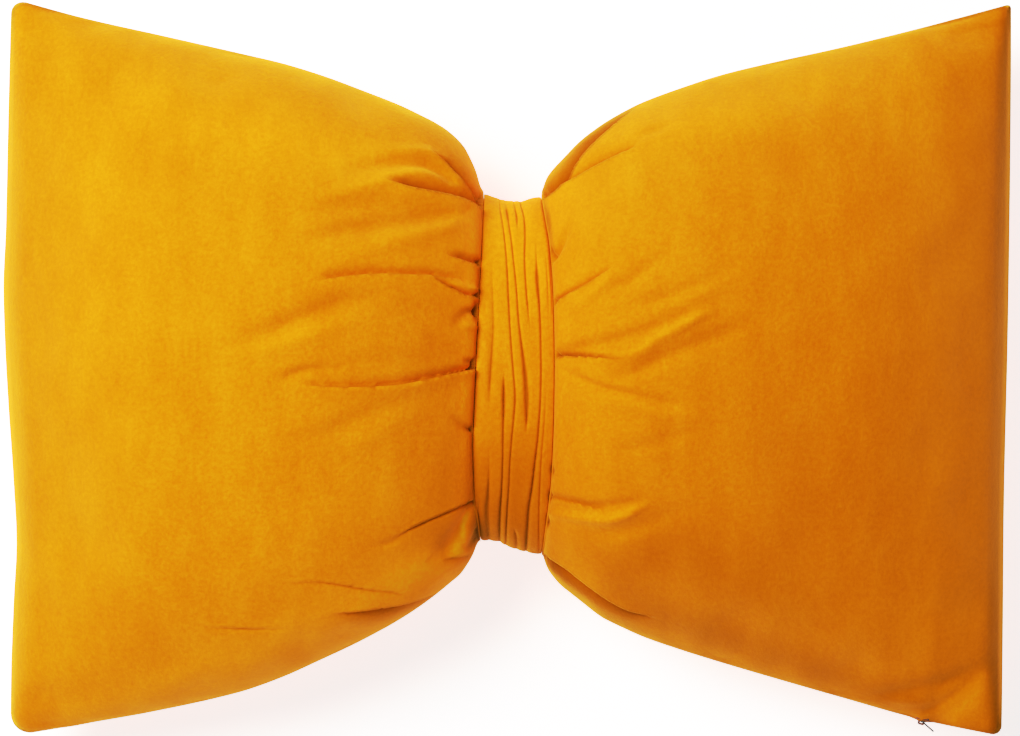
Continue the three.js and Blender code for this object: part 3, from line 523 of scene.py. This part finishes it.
class Lobe:
    """One lobe's curves and its plain swell, before any fold."""

    def __init__(self, facts, sections, start, edge):
        self.side = facts["side"]
        self.facts = facts
        self.top, self.bottom, self.crown, self.belly = (
            curve(sections["out"], sections[name]) for name in ("top", "bottom", "crown", "belly"))
        self.last_top, self.last_bottom = sections["top"][-1], sections["bottom"][-1]
        self.edge_at = curve(edge["y"], edge["x"])
        self.start = curve(start["v"], start["x"])
        self.puckers = settle(self)

    def edge(self, v):
        y = mix(self.last_bottom, self.last_top, (v + 1) / 2)
        inset = corner_inset(self.facts["top_corner"], self.last_top - y)
        inset = inset + corner_inset(self.facts["bottom_corner"], y - self.last_bottom)
        return self.edge_at(y) - self.side * inset

    def puckered(self, face, share, v):
        """Points of the swell, moved as the cloth simulation moved them."""
        point = self.swell(face, share, v)
        if self.puckers is None:
            return point
        moved = between(self.puckers[face], share[:, 0] * SETTLING["rings"])
        turns = np.linspace(0, SETTLING["turns"], share.shape[1])
        return point + np.swapaxes(between(np.swapaxes(moved, 0, 1), turns), 0, 1)

    def swell(self, face, share, v):
        """Points of the plain swell. share runs from 0 at the band to 1 at the outer edge."""
        start = self.start(v)
        length = np.abs(self.edge(v) - start)
        out = length * share
        top, bottom = self.top(out), self.bottom(out)
        if self.side > 0:
            bottom = bottom - ZIP_FLAP["drop"] * bell((out - ZIP_FLAP["out"]) / ZIP_FLAP["width"])
        far = np.where(v > 0, self.facts["upper_round"], self.facts["lower_round"])
        power = mix(ROUND["ellipse"], far, np.clip(out / ROUND["own_at"], 0, 1))
        across = np.maximum(0.0, 1 - v * v) ** power
        end = (1 - END_ROLL["share"]) * (1 - (1 - np.minimum(1.0, (length - out) / END_SLOPE)) ** 2)
        end += END_ROLL["share"] * (1 - (1 - np.minimum(1.0, (length - out) / END_ROLL["length"])) ** 3)
        height = np.where(face > 0, self.crown(out), self.belly(out)) * across * end
        seam = SEAM_HEIGHT - SEAM_DROP * smooth(share) - CORNER_DROP * share**3 * v**4
        over_band = OVER_BAND["most"] * smooth(out / OVER_BAND["from"])
        over_band = over_band * bell(out / OVER_BAND["to"]) * dome(v)
        x = start + self.side * (out - over_band)
        return np.stack([x, mix(bottom, top, (v + 1) / 2), seam + face * height], axis=-1)


def settle(lobe):
    """Runs the cloth simulation of a lobe's cover, and gives how far each point of its two faces moved."""
    shares = np.linspace(0, 1, SETTLING["rings"] + 1)
    share, v = np.meshgrid(shares, turn_spacing(SETTLING["turns"]), indexing="ij")
    front, back = lobe.swell(1, share, v), lobe.swell(-1, share, v)
    front_ids = np.arange(share.size).reshape(share.shape)
    inside = np.zeros(share.shape, bool)
    inside[:-1, 1:-1] = True
    back_ids = front_ids.copy()
    back_ids[inside] = share.size + np.arange(inside.sum())
    points = np.concatenate([front.reshape(-1, 3), back[inside]])

    faces = []
    for ids, turned in ((front_ids, lobe.side < 0), (back_ids, lobe.side > 0)):
        quads = np.stack([ids[:-1, :-1], ids[:-1, 1:], ids[1:, 1:], ids[1:, :-1]], axis=-1).reshape(-1, 4)
        faces += (quads[:, ::-1] if turned else quads).tolist()
    cap = [*front_ids[0], *back_ids[0, -2:0:-1]]
    faces.append([int(i) for i in (cap if lobe.side < 0 else cap[::-1])])
    cover = new_object("cover_to_settle", points, faces)
    held = cover.vertex_groups.new(name="held")
    held.add(np.unique([*cap, *front_ids[:, 0], *front_ids[:, -1], *front_ids[-1]]).tolist(), 1.0, "ADD")

    cloth = cover.modifiers.new("cloth", "CLOTH")
    for setting, value in CLOTH.items():
        setattr(cloth.settings, setting, value)
    cloth.settings.effector_weights.gravity = 0
    cloth.collision_settings.use_collision = False
    cloth.point_cache.frame_start = 1
    cloth.point_cache.frame_end = SETTLING["frames"]
    for frame_number in range(1, SETTLING["frames"] + 1):
        bpy.context.scene.frame_set(frame_number)
    settled = cover.evaluated_get(bpy.context.evaluated_depsgraph_get()).data
    places = np.empty(3 * len(points), np.float32)
    settled.vertices.foreach_get("co", places)
    moved = places.reshape(-1, 3).astype(float) / MM - points
    bpy.context.scene.frame_set(1)
    bpy.data.objects.remove(cover, do_unlink=True)

    puckers = {}
    for face, ids, shown in ((1, front_ids, SETTLING["front"]), (-1, back_ids, SETTLING["back"])):
        field = evened(moved[ids], SETTLING["calm"])
        field -= evened(field, SETTLING["broad"])
        size = np.linalg.norm(field, axis=-1, keepdims=True)
        puckers[face] = shown * field * (SETTLING["cap"] / np.maximum(SETTLING["cap"], size))
    return puckers


def corner_inset(radius, distance):
    """How far a rounded corner of that radius draws its edge in, at a distance from the corner."""
    short = np.maximum(0.0, radius - np.maximum(0.0, distance))
    return radius - np.sqrt(radius * radius - short * short)


def press_flat(z):
    """The underside pressed flat on the surface."""
    rounded = (z + FLATTENED) ** 2 / (4 * FLATTENED)
    return np.where(z >= FLATTENED, z, np.where(z <= -FLATTENED, 0.0, rounded))


def seen(points):
    """Where points appear on the plane of the camera's picture, in millimetres from the bow's middle."""
    middle = np.array([PICTURE["middle_x"], PICTURE["middle_y"]])
    near = CAMERA_ABOVE / (CAMERA_ABOVE - (points[..., 2] - PICTURE["height_at"]))
    return middle + (points[..., :2] - middle) * near[..., None]


def from_photo(path):
    """A path's rows with their places in millimetres from the bow's middle."""
    path = np.array(path, float)
    path[:, 0] = (path[:, 0] - PHOTO["middle_x"]) / PHOTO["per_mm"]
    path[:, 1] = (PHOTO["middle_y"] - path[:, 1]) / PHOTO["per_mm"]
    return path


def follow(path, places):
    """For each place, the third and fourth value of the path's nearest spot, how far above the path the
    place is, and the path's upward direction there."""
    at = np.linspace(0, 1, len(path))
    fine = np.linspace(0, 1, FINE_STEPS * (len(path) - 1) + 1)
    line = np.stack([curve_through(at, path[:, k])(fine) for k in range(4)], axis=-1)
    steps = np.diff(line[:, :2], axis=0)
    sizes = np.linalg.norm(steps, axis=1)
    forward = steps / sizes[:, None]
    upward = np.stack([-forward[:, 1], forward[:, 0]], axis=-1)
    upward *= np.where(upward[:, 1:] < 0, -1.0, 1.0)
    from_start = places[:, None, :] - line[None, :-1, :2]
    run = np.clip(np.sum(from_start * forward, axis=-1), 0.0, sizes)
    gap = from_start - run[..., None] * forward
    distance = np.linalg.norm(gap, axis=-1)
    nearest = np.argmin(distance, axis=1)
    row = np.arange(len(places))
    share = (run[row, nearest] / sizes[nearest])[:, None]
    values = mix(line[nearest, 2:], line[nearest + 1, 2:], share)
    side = np.where(np.sum(gap[row, nearest] * upward[nearest], axis=-1) >= 0, 1.0, -1.0)
    return values[:, 0], values[:, 1], side * distance[row, nearest], upward[nearest]


def near_path(path, places, reach):
    """Which places lie within reach of a path's box."""
    low, high = path[:, :2].min(axis=0) - reach, path[:, :2].max(axis=0) + reach
    return np.flatnonzero(np.all((places >= low) & (places <= high), axis=1))


def beside(path, places):
    """Which places lie near a path, the third and fourth value of its nearest spot, and how far above it
    each place is, in widths."""
    near = near_path(path, places, SOFT_SIDES * path[:, 3].max())
    value, width, above, _ = follow(path, places[near])
    return near, value, above / width


def darken(shade, near, dark):
    """Adds a shade that never gets darker than full."""
    shade[near] = 1 - (1 - shade[near]) * (1 - dark)


def beside_line(above, near, shape):
    """The points on either side of a line, where each ring of points crosses it."""
    full = np.full(shape, np.nan)
    full.reshape(-1)[near] = above
    crossed = full[:, :-1] * full[:, 1:] < 0
    next_to_it = np.zeros(shape, bool)
    next_to_it[:, :-1] |= crossed
    next_to_it[:, 1:] |= crossed
    return next_to_it.reshape(-1)[near]


def add_crease(facts, path, places, shape, height, shift, shade):
    """Adds one crease. The two points beside it on each ring move onto it, so that its edge is clean."""
    bank_side, lip, full_shade, reach, wall = facts
    near = near_path(path, places, CREASE_SIDES * path[:, 3].max())
    if not len(near):
        return
    dip, width, above, upward = follow(path, places[near])
    dip = np.minimum(CREASE["deepest"], CREASE["gain"] * dip)
    side = 1.0 if bank_side == "above" else -1.0
    into_bank = np.maximum(0.0, side * above)
    past_lip = np.maximum(0.0, -side * above)
    strength = np.clip(dip / CREASE["full_at"], 0, 1)
    onto = beside_line(above, near, shape) & (np.abs(above) < CREASE["snap"])
    bank = -dip * np.maximum(0.0, 1 - into_bank / (CREASE["bank"] * width)) ** 2
    rise = lip * strength * bell(past_lip / (CREASE["lip"] * width))
    height[near] += np.where(side * above > 0, bank, rise)
    back = wall * np.exp(-(past_lip / (2 * wall + 0.1))) * (past_lip > 0)
    shift[near] += (np.where(onto, -above, -side * back) * np.minimum(1, 2 * strength))[:, None] * upward
    # Painted shade in the crease and up its bank.
    darken(shade, near, full_shade * strength * (bell(into_bank / reach) * bell(past_lip / CREASE["past"])))


def add_swell(path, places, height, shade):
    """Adds one soft ridge or dip, with painted shade in a dip and painted light on a ridge."""
    near, rise, above = beside(path, places)
    height[near] += SWELL_GAIN * rise * bell(above + FLANK)
    shade[near] -= SWELL_SHADE * (SWELL_GAIN * rise) * bell(above)


def add_painted_light_and_shade(places, shade):
    """Adds the marks of painted shade and painted light, partly where the pile leans another way."""
    for path in PAINTED_LIGHT_AND_SHADE:
        near, tone, above = beside(from_photo(path), places)
        shade[near] += tone * bell(above)


def add_hollow(path, places, height, shade):
    """Adds one small deep hollow, with painted shade inside."""
    near, depth, above = beside(path, places)
    height[near] -= depth * bell(above)
    darken(shade, near, np.clip(HOLLOW_SHADE * depth, 0, 1) * bell(above))


def soft_noise(places, size, seed):
    """Smooth noise of about that size in millimetres, mostly from -1 to 1."""
    rng = np.random.default_rng(seed)
    total = np.zeros(len(places))
    for _ in range(NOISE["waves"]):
        angle = rng.uniform(0, math.pi)
        phase = rng.uniform(0, 2 * math.pi)
        wave = size * rng.uniform(NOISE["shortest"], NOISE["longest"])
        along = places[:, 0] * math.cos(angle) + places[:, 1] * math.sin(angle)
        total += np.sin(2 * math.pi * along / wave + phase)
    return total / NOISE["divided_by"]


def unevenness(places, layers):
    return sum(amount * soft_noise(places, size, seed) for amount, size, seed in layers)


def lobe_points(lobe, face, share, v):
    """The finished points of one face of a lobe: its swell with the folds along its normal. A fourth value
    of each point is its painted shade, and below nought its painted light."""
    point = lobe.puckered(face, share, v)
    step, last = DIRECTION["step"], DIRECTION["last"]
    along = lobe.swell(face, np.minimum(1, share + step), v)
    along = along - lobe.swell(face, np.maximum(0, share - step), v)
    across = lobe.swell(face, share, np.minimum(last, v + step))
    across = across - lobe.swell(face, share, np.maximum(-last, v - step))
    normal = np.cross(along, across)
    normal /= np.linalg.norm(normal, axis=-1, keepdims=True)
    normal *= np.where(normal[..., 2:] * face < 0, -1.0, 1.0)

    shape = point.shape[:-1]
    flat = point.reshape(-1, 3)
    height, shift, shade = np.zeros(len(flat)), np.zeros((len(flat), 2)), np.zeros(len(flat))
    if face > 0:
        places = seen(flat)
        for *facts, path in CREASES.values():
            add_crease(facts, from_photo(path), places, shape, height, shift, shade)
        for path in SWELLS:
            add_swell(from_photo(path), places, height, shade)
        for path in HOLLOWS:
            add_hollow(from_photo(path), places, height, shade)
        add_painted_light_and_shade(places, shade)
    else:
        places = flat[:, :2].copy()
        for row in BACK_FOLDS:
            add_crease(*back_fold(*row), places, shape, height, shift, shade)
    height += unevenness(places, UNEVEN_LOBES)

    height, shift, shade = height.reshape(shape), shift.reshape(*shape, 2), shade.reshape(shape)
    # Darker along the seams: the seam's own line, and painted shade where the edge rolls under.
    at_seam = bell(np.abs(point[..., 2] - point[:, :1, 2]) / SEAM_SHADE["reach"])
    darken(shade, ..., SEAM_SHADE["dark"] * at_seam * np.clip(share * START["seam_shade"], 0, 1))
    from_band = np.abs(point[..., 0] - lobe.start(v))
    calm = np.minimum(1, dome(v) * START["seams"]) * np.clip((1 - share) * START["edge"], 0, 1)
    room = lobe.crown(from_band) - WAIST_HALF_DEPTH + SINK["past"]
    height = np.maximum(height * calm, -room * np.maximum(SINK["least"], dome(v)) * calm)
    point = point + normal * height[..., None]
    point[..., :2] += shift * (calm * np.clip(from_band / START["from_band"], 0, 1))[..., None]
    if face < 0:
        point[..., 2] = press_flat(point[..., 2])
    return np.concatenate([point, shade[..., None]], axis=-1)


def back_fold(x0, y0, x1, y1, bow, depth, upper, lower):
    """The facts and the path of a crease for a row of the table of back gathers."""
    bank, width = ("above", upper) if upper > lower else ("below", lower)
    depths, widths = BACK_CREASE["depths"], BACK_CREASE["widths"]
    path = [(x0, y0, depths[0] * depth, widths[0] * width),
            ((x0 + x1) / 2, (y0 + y1) / 2 + bow, depths[1] * depth, widths[1] * width),
            (x1, y1, BACK_CREASE["last_depth"], width)]
    return (bank, BACK_CREASE["lip"], BACK_CREASE["shade"], widths[0] * width, 0.0), np.array(path)


def waist_points(share, turn, grow):
    """Points on the waist under the band, grown outwards by that much, with no shade as the fourth value."""
    v = np.cos(turn)
    top = curve(WAIST_EDGES["share"], WAIST_EDGES["top"])(share) + grow
    bottom = curve(WAIST_EDGES["share"], WAIST_EDGES["bottom"])(share) - grow
    left = LEFT_LOBE.start(v) + BAND["side_step"]
    right = RIGHT_LOBE.start(v) - BAND["side_step"]
    z = SEAM_HEIGHT + (WAIST_HALF_DEPTH + grow) * np.sin(turn) + 0 * share
    return np.stack([mix(left, right, share), mix(bottom, top, (v + 1) / 2), z, 0 * z], axis=-1)


def put(name, data):
    """A new object with that data, in the scene."""
    made = bpy.data.objects.new(name, data)
    bpy.context.scene.collection.objects.link(made)
    return made


def new_object(name, points, faces, smooth_faces=True):
    """A mesh object from points in millimetres. A fourth value of a point is kept as its shade."""
    points = np.asarray(points, float)
    mesh = bpy.data.meshes.new(name)
    mesh.from_pydata((points[:, :3] * MM).tolist(), [], faces)
    mesh.update()
    if points.shape[1] == 4:
        shade = mesh.attributes.new("shade", "FLOAT", "POINT")
        shade.data.foreach_set("value", points[:, 3].astype(np.float32))
    if smooth_faces:
        mesh.shade_smooth()
    return put(name, mesh)


def ring_spacing(count):
    """Shares of the way out, closer together near the band."""
    t = np.linspace(0, 1, count + 1)
    return mix(t ** SPACING["power"], t, SPACING["even_rings"])


def turn_spacing(count):
    """Cosines of the turns over one face, even round the middle and close together at the seams."""
    t = np.linspace(0, 1, count + 1)
    even = 1 - 2 * t
    rounded = np.cos(math.pi * t)
    return mix(rounded, even, SPACING["even_turns"] * np.sin(math.pi * t) ** 2)


def make_cushion():
    """The filled cushion as one closed mesh, ring by ring from the left edge to the right edge. The front
    has more points than the back, and each outer edge is one ring that both share."""
    grid = CUSHION_GRID
    shares = ring_spacing(grid["rings"])
    v_front = turn_spacing(grid["back"] * grid["front_per_back"])
    v_back = v_front[::grid["front_per_back"]]
    points, front_rings, back_rings = [], [], []

    def take(ring):
        """Adds a ring's points, and gives their numbers."""
        points.extend(ring)
        return list(range(len(points) - len(ring), len(points)))

    def add(front, back=None):
        """One ring: the front's points, then the back's without its two ends, which the front has. An
        outer edge has no back of its own."""
        ids = take(front)
        front_rings.append(ids)
        back_rings.append(ids if back is None else [ids[0], *take(back[1:-1]), ids[-1]])

    def lobe_rings(lobe):
        front, back = (lobe_points(lobe, face, *np.meshgrid(shares, v, indexing="ij"))
                       for face, v in ((1, v_front), (-1, v_back)))
        for seam in (front[:, :1], front[:, -1:]):
            past = np.linalg.norm(back[..., :3] - seam[..., :3], axis=-1) / SHADE_PAST_SEAM
            back[..., 3] += (seam[..., 3] - SEAM_SHADE["dark"]) * bell(past)
        return list(zip(front, back))

    left, right = lobe_rings(LEFT_LOBE), lobe_rings(RIGHT_LOBE)
    turns_front = np.arccos(np.clip(v_front, -1, 1))
    turns_back = 2 * math.pi - np.arccos(np.clip(v_back, -1, 1))
    waist = [(share, 0.0) for share in np.linspace(0, 1, grid["waist"] + 1)]
    add(left[-1][0])
    for front, back in left[-2::-1]:
        add(front, back)
    for share, grow in [(-WELL["beside"], WELL["up"]), *waist, (1 + WELL["beside"], WELL["up"])]:
        add(waist_points(share, turns_front, grow), waist_points(share, turns_back, grow))
    for front, back in right[:-1]:
        add(front, back)
    add(right[-1][0])

    faces = []
    z = np.array([point[2] for point in points])
    for a, b in zip(front_rings[:-1], front_rings[1:]):
        for j in range(len(a) - 1):
            corners = (a[j], a[j + 1], b[j + 1], b[j])
            one, other = abs(z[corners[0]] - z[corners[2]]), abs(z[corners[1]] - z[corners[3]])
            if abs(one - other) < SPLIT_STEP:
                faces.append(corners)
            elif one < other:
                faces += [corners[:3], (corners[0], corners[2], corners[3])]
            else:
                faces += [(corners[0], corners[1], corners[3]), corners[1:]]
    for a, b in zip(back_rings[:-1], back_rings[1:]):
        faces += back_strip(a, b, grid["front_per_back"])
    return new_object("cushion_velvet", points, faces)


def back_strip(a, b, finer):
    """The faces between two rings of the back, of which one may be an outer edge with more points."""
    steps = min(len(a), len(b)) - 1
    fine_a = finer if len(a) > len(b) else 1
    fine_b = finer if len(b) > len(a) else 1
    return [(*a[j * fine_a:(j + 1) * fine_a + 1][::-1], *b[j * fine_b:(j + 1) * fine_b + 1])
            for j in range(steps)]


def add_pleat(path, places, height, shade):
    """Adds one crack between two pleats. Its left side stands a little higher than its right side."""
    near = near_path(path, places, PLEAT["sides"])
    if not len(near):
        return
    depth, width, _, _ = follow(path, places[near])
    order = np.argsort(path[:, 1])
    line_x = curve_through(path[order, 1], path[order, 0])
    low, high = path[:, 1].min(), path[:, 1].max()
    to_right = places[near, 0] - line_x(np.clip(places[near, 1], low, high))
    past_end = np.maximum(0.0, np.maximum(low - places[near, 1], places[near, 1] - high))
    aside = np.abs(to_right)
    fade = bell(past_end / PLEAT["past_end"])
    crack = -depth * np.exp(-((aside / width) ** PLEAT["sharp"]))
    step = PLEAT["step"] * np.minimum(1, depth) * np.where(to_right < 0, 1.0, -1.0)
    step = step * np.exp(-aside / PLEAT["step_reach"]) * smooth(aside / PLEAT["step_from"])
    height[near] += fade * (crack + step)
    dark = np.clip(PLEAT["dark"] * (depth - PLEAT["dark_from"]), 0, PLEAT["darkest"])
    darken(shade, near, fade * dark * bell(aside / (PLEAT["dark_width"] * width)))


def make_band():
    """The band: a closed sleeve of pleated velvet round the waist."""
    grid = BAND_GRID
    turns = 2 * math.pi * np.arange(grid["around"]) / grid["around"]
    shares = np.linspace(BAND["inset"], 1 - BAND["inset"], grid["across"] + 1)
    turn, share = np.meshgrid(turns, shares, indexing="ij")
    flat = waist_points(share, turn, BAND["gap"] + BAND["thickness"] - BAND["below_top"]).reshape(-1, 4)

    # Past the two seams, the places count on from the picture's plane round to the back.
    angle = np.where(turn > 1.5 * math.pi, turn - 2 * math.pi, turn).reshape(-1)
    places = seen(flat)
    past = np.maximum(0, -angle) - np.maximum(0, angle - math.pi)
    places[:, 1] = np.where(past == 0, places[:, 1], flat[:, 1] * np.cos(past) + ROUND_WAIST * past)
    height, shade = np.zeros(len(places)), np.zeros(len(places))
    for path in PLEATS.values():
        add_pleat(from_photo(path), places, height, shade)
    behind = np.stack([flat[:, 0], np.degrees(turn.reshape(-1))], axis=-1)
    for path in BACK_PLEATS.values():
        add_pleat(np.array(path), behind, height, shade)
    height += unevenness(np.stack([flat[:, 0], turn.reshape(-1) * ROUND_WAIST], axis=-1), UNEVEN_BAND)
    add_painted_light_and_shade(places, shade)

    at_seam = smooth(np.abs(np.sin(turn)) / BAND["seam_reach"])
    height = height.reshape(turn.shape) * mix(BAND["at_seam"], 1.0, at_seam)
    height = BAND["thickness"] - BAND["below_top"] + height
    inside = 1 - (2 * np.abs(share - 0.5)) ** BAND["edge_power"]
    height = np.clip(height, BAND["least"], BAND["thickness"]) * mix(BAND["edge_share"], 1.0, inside)
    outer = waist_points(share, turn, BAND["gap"] + height)
    outer[..., 3] = shade.reshape(turn.shape)
    shares = np.linspace(1 - BAND["inset"], BAND["inset"], grid["edge"])
    turn, share = np.meshgrid(turns, shares, indexing="ij")
    inner = waist_points(share, turn, BAND["gap"])
    rings = np.concatenate([outer, inner], axis=1)
    count = rings.shape[1]
    faces = []
    for i in range(grid["around"]):
        a, b = i * count, ((i + 1) % grid["around"]) * count
        faces += [(a + j, b + j, b + (j + 1) % count, a + (j + 1) % count) for j in range(count)]
    return new_object("band_velvet", rings.reshape(-1, 4), faces)


def fill_in(tree, node, inputs):
    """Gives each input of a node its constant, or its link from another node's output."""
    for key, value in inputs.items():
        if isinstance(value, bpy.types.NodeSocket):
            tree.links.new(value, node.inputs[key])
        else:
            node.inputs[key].default_value = value


def add_node(tree, kind, inputs, output=0, **settings):
    """Adds a node to the tree, and gives one of its outputs."""
    node = tree.nodes.new("ShaderNode" + kind)
    for name, value in settings.items():
        setattr(node, name, value)
    fill_in(tree, node, inputs)
    return node.outputs[output]


def material(name):
    """A new material, with its tree, its shader and the object's own coordinates."""
    made = bpy.data.materials.new(name)
    made.use_nodes = True
    tree = made.node_tree
    return made, tree, tree.nodes["Principled BSDF"], add_node(tree, "TexCoord", {}, "Object")


def noise(tree, coords, scale, detail=2.0, roughness=0.5):
    inputs = {"Vector": coords, "Scale": scale, "Detail": detail, "Roughness": roughness}
    return add_node(tree, "TexNoise", inputs, "Fac")


def ramp(tree, value, stops):
    """A colour ramp. A stop's colour may be one number, for a grey."""
    node = tree.nodes.new("ShaderNodeValToRGB")
    elements = node.color_ramp.elements
    for _ in stops[2:]:
        elements.new(0.5)
    for element, (place, colour) in zip(elements, stops):
        element.position = place
        element.color = (*colour, 1) if isinstance(colour, tuple) else (colour, colour, colour, 1)
    tree.links.new(value, node.inputs["Fac"])
    return node.outputs["Color"]


def math_node(tree, operation, a, b, kind="Math"):
    return add_node(tree, kind, {0: a, 1: b}, operation=operation)


def bump(tree, height, strength, distance, **normal):
    inputs = {"Height": height, "Strength": strength, "Distance": distance, **normal}
    return add_node(tree, "Bump", inputs, "Normal")


def velvet(name, seed):
    """Short-pile mustard velvet: a fine grain, soft marks where the pile leans, a sheen, and the painted
    shade and painted light of the mesh's shade attribute.
    """
    made, tree, shader, coords = material(name)
    place = math_node(tree, "ADD", coords, (seed, 2 * seed, 3 * seed), "VectorMath")
    grain = noise(tree, place, 480, detail=4, roughness=0.72)
    drawn_out = add_node(tree, "Mapping", {"Vector": place, "Scale": (70, 26, 50)})
    lean = noise(tree, drawn_out, 1.0, detail=4, roughness=0.62)
    patch = noise(tree, place, 13)
    parts = zip((grain, lean, patch), (0.5, 0.32, 0.18))
    parts = [math_node(tree, "MULTIPLY", part, share) for part, share in parts]
    tone = math_node(tree, "ADD", parts[0], math_node(tree, "ADD", parts[1], parts[2]))
    colour = ramp(tree, tone, [(0.34, (0.60, 0.137, 0.0010)), (0.5, (0.70, 0.176, 0.0018)),
                               (0.66, (0.80, 0.222, 0.0036))])
    # The mesh's shade attribute darkens the colour for painted shade, and below nought lightens it for
    # painted light.
    shade = add_node(tree, "Attribute", {}, "Fac", attribute_name="shade")
    darker = [math_node(tree, "POWER", dark, shade) for dark in CREASE_DARK]
    darker = add_node(tree, "CombineXYZ", dict(enumerate(darker)))
    shaded = math_node(tree, "MULTIPLY", colour, darker, "VectorMath")
    leaning = bump(tree, lean, 0.4, 0.0012)
    fill_in(tree, shader, {
        "Base Color": math_node(tree, "MINIMUM", shaded, (MOST_COLOUR,) * 3, "VectorMath"),
        "Roughness": ramp(tree, grain, [(0.3, 0.78), (0.7, 0.95)]),
        "Sheen Weight": 1.0, "Sheen Roughness": 0.5, "Sheen Tint": (1.0, 0.40, 0.02, 1),
        "Specular IOR Level": 0.06, "Specular Tint": (1.0, 0.55, 0.12, 1),
        "Normal": bump(tree, grain, 0.7, 0.0004, Normal=leaning)})
    return made


def painted_metal(name, colour, metallic, roughness):
    """Slightly worn metal for the zip's small pieces."""
    made, tree, shader, coords = material(name)
    wear = noise(tree, coords, 1500, detail=3)
    dark, light = (tuple(min(1, WEAR[key] * c) for c in colour) for key in ("dark", "light"))
    fill_in(tree, shader, {
        "Base Color": ramp(tree, wear, [(0.35, dark), (0.65, light)]), "Metallic": metallic,
        "Roughness": ramp(tree, wear, [(0.3, roughness - WEAR["smooth"]), (0.7, roughness + WEAR["rough"])]),
        "Normal": bump(tree, wear, 0.15, 0.00005)})
    return made


def give(made, its_material):
    made.data.materials.clear()
    made.data.materials.append(its_material)


def make_floor():
    corners = [(x * FLOOR_HALF, y * FLOOR_HALF, 0) for x, y in ((-1, -1), (1, -1), (1, 1), (-1, 1))]
    floor = new_object("floor", corners, [(0, 1, 2, 3)], smooth_faces=False)
    made, tree, shader, coords = material("pale_floor")
    fill_in(tree, shader, {
        "Base Color": ramp(tree, noise(tree, coords, 3), [(0.3, 0.88), (0.7, 0.91)]),
        "Roughness": 0.9, "Specular IOR Level": 0.1,
        "Emission Color": (1, 1, 1, 1), "Emission Strength": 0.95})
    give(floor, made)


def make_camera():
    data = bpy.data.cameras.new("camera")
    data.lens = LENS["focal"]
    data.sensor_width = LENS["sensor"]
    data.clip_end = 50.0
    camera = put("camera", data)
    height = PICTURE["height_at"] + CAMERA_ABOVE
    camera.location = (PICTURE["middle_x"] * MM, PICTURE["middle_y"] * MM, height * MM)
    bpy.context.scene.camera = camera


def make_studio():
    data = bpy.data.lights.new("key", "AREA")
    data.shape = "DISK"
    data.size = KEY_LIGHT["size"]
    data.energy = KEY_LIGHT["power"]
    light = put("key", data)
    light.location = KEY_LIGHT["place"]
    light.rotation_euler = (-Vector(KEY_LIGHT["place"])).to_track_quat("-Z", "Y").to_euler()

    world = bpy.data.worlds.new("studio")
    bpy.context.scene.world = world
    world.use_nodes = True
    background = world.node_tree.nodes["Background"]
    background.inputs["Color"].default_value = (1, 1, 1, 1)
    background.inputs["Strength"].default_value = SKY_STRENGTH

    view = bpy.context.scene.view_settings
    view.view_transform = "Standard"
    view.look = "None"
    view.use_curve_mapping = True
    mapping = view.curve_mapping
    mapping.white_level = (TONE_WHITE,) * 3
    curve_points = mapping.curves[3].points
    curve_points[0].location = (0, 0)
    curve_points[-1].location = (1, TONES[-1][1])
    for scene_value, shown in TONES[:-1]:
        curve_points.new(scene_value / TONE_WHITE, shown)
    mapping.update()


LEFT_LOBE = Lobe(LEFT, LEFT_SECTIONS, LEFT_START, LEFT_EDGE)
RIGHT_LOBE = Lobe(RIGHT, RIGHT_SECTIONS, RIGHT_START, RIGHT_EDGE)

cushion = make_cushion()
band = make_band()
give(cushion, velvet("cushion_velvet", 0.0))
give(band, velvet("band_velvet", 0.37))
give(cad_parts["zip_slider"], painted_metal("slider_paint", (0.15, 0.045, 0.022), 0.1, 0.5))
give(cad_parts["zip_pull"], painted_metal("pull_metal", (0.045, 0.044, 0.04), 0.5, 0.5))

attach(cushion, "root")
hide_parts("cushion")
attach(band, "root")
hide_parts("band")

make_floor()
make_camera()
make_studio()
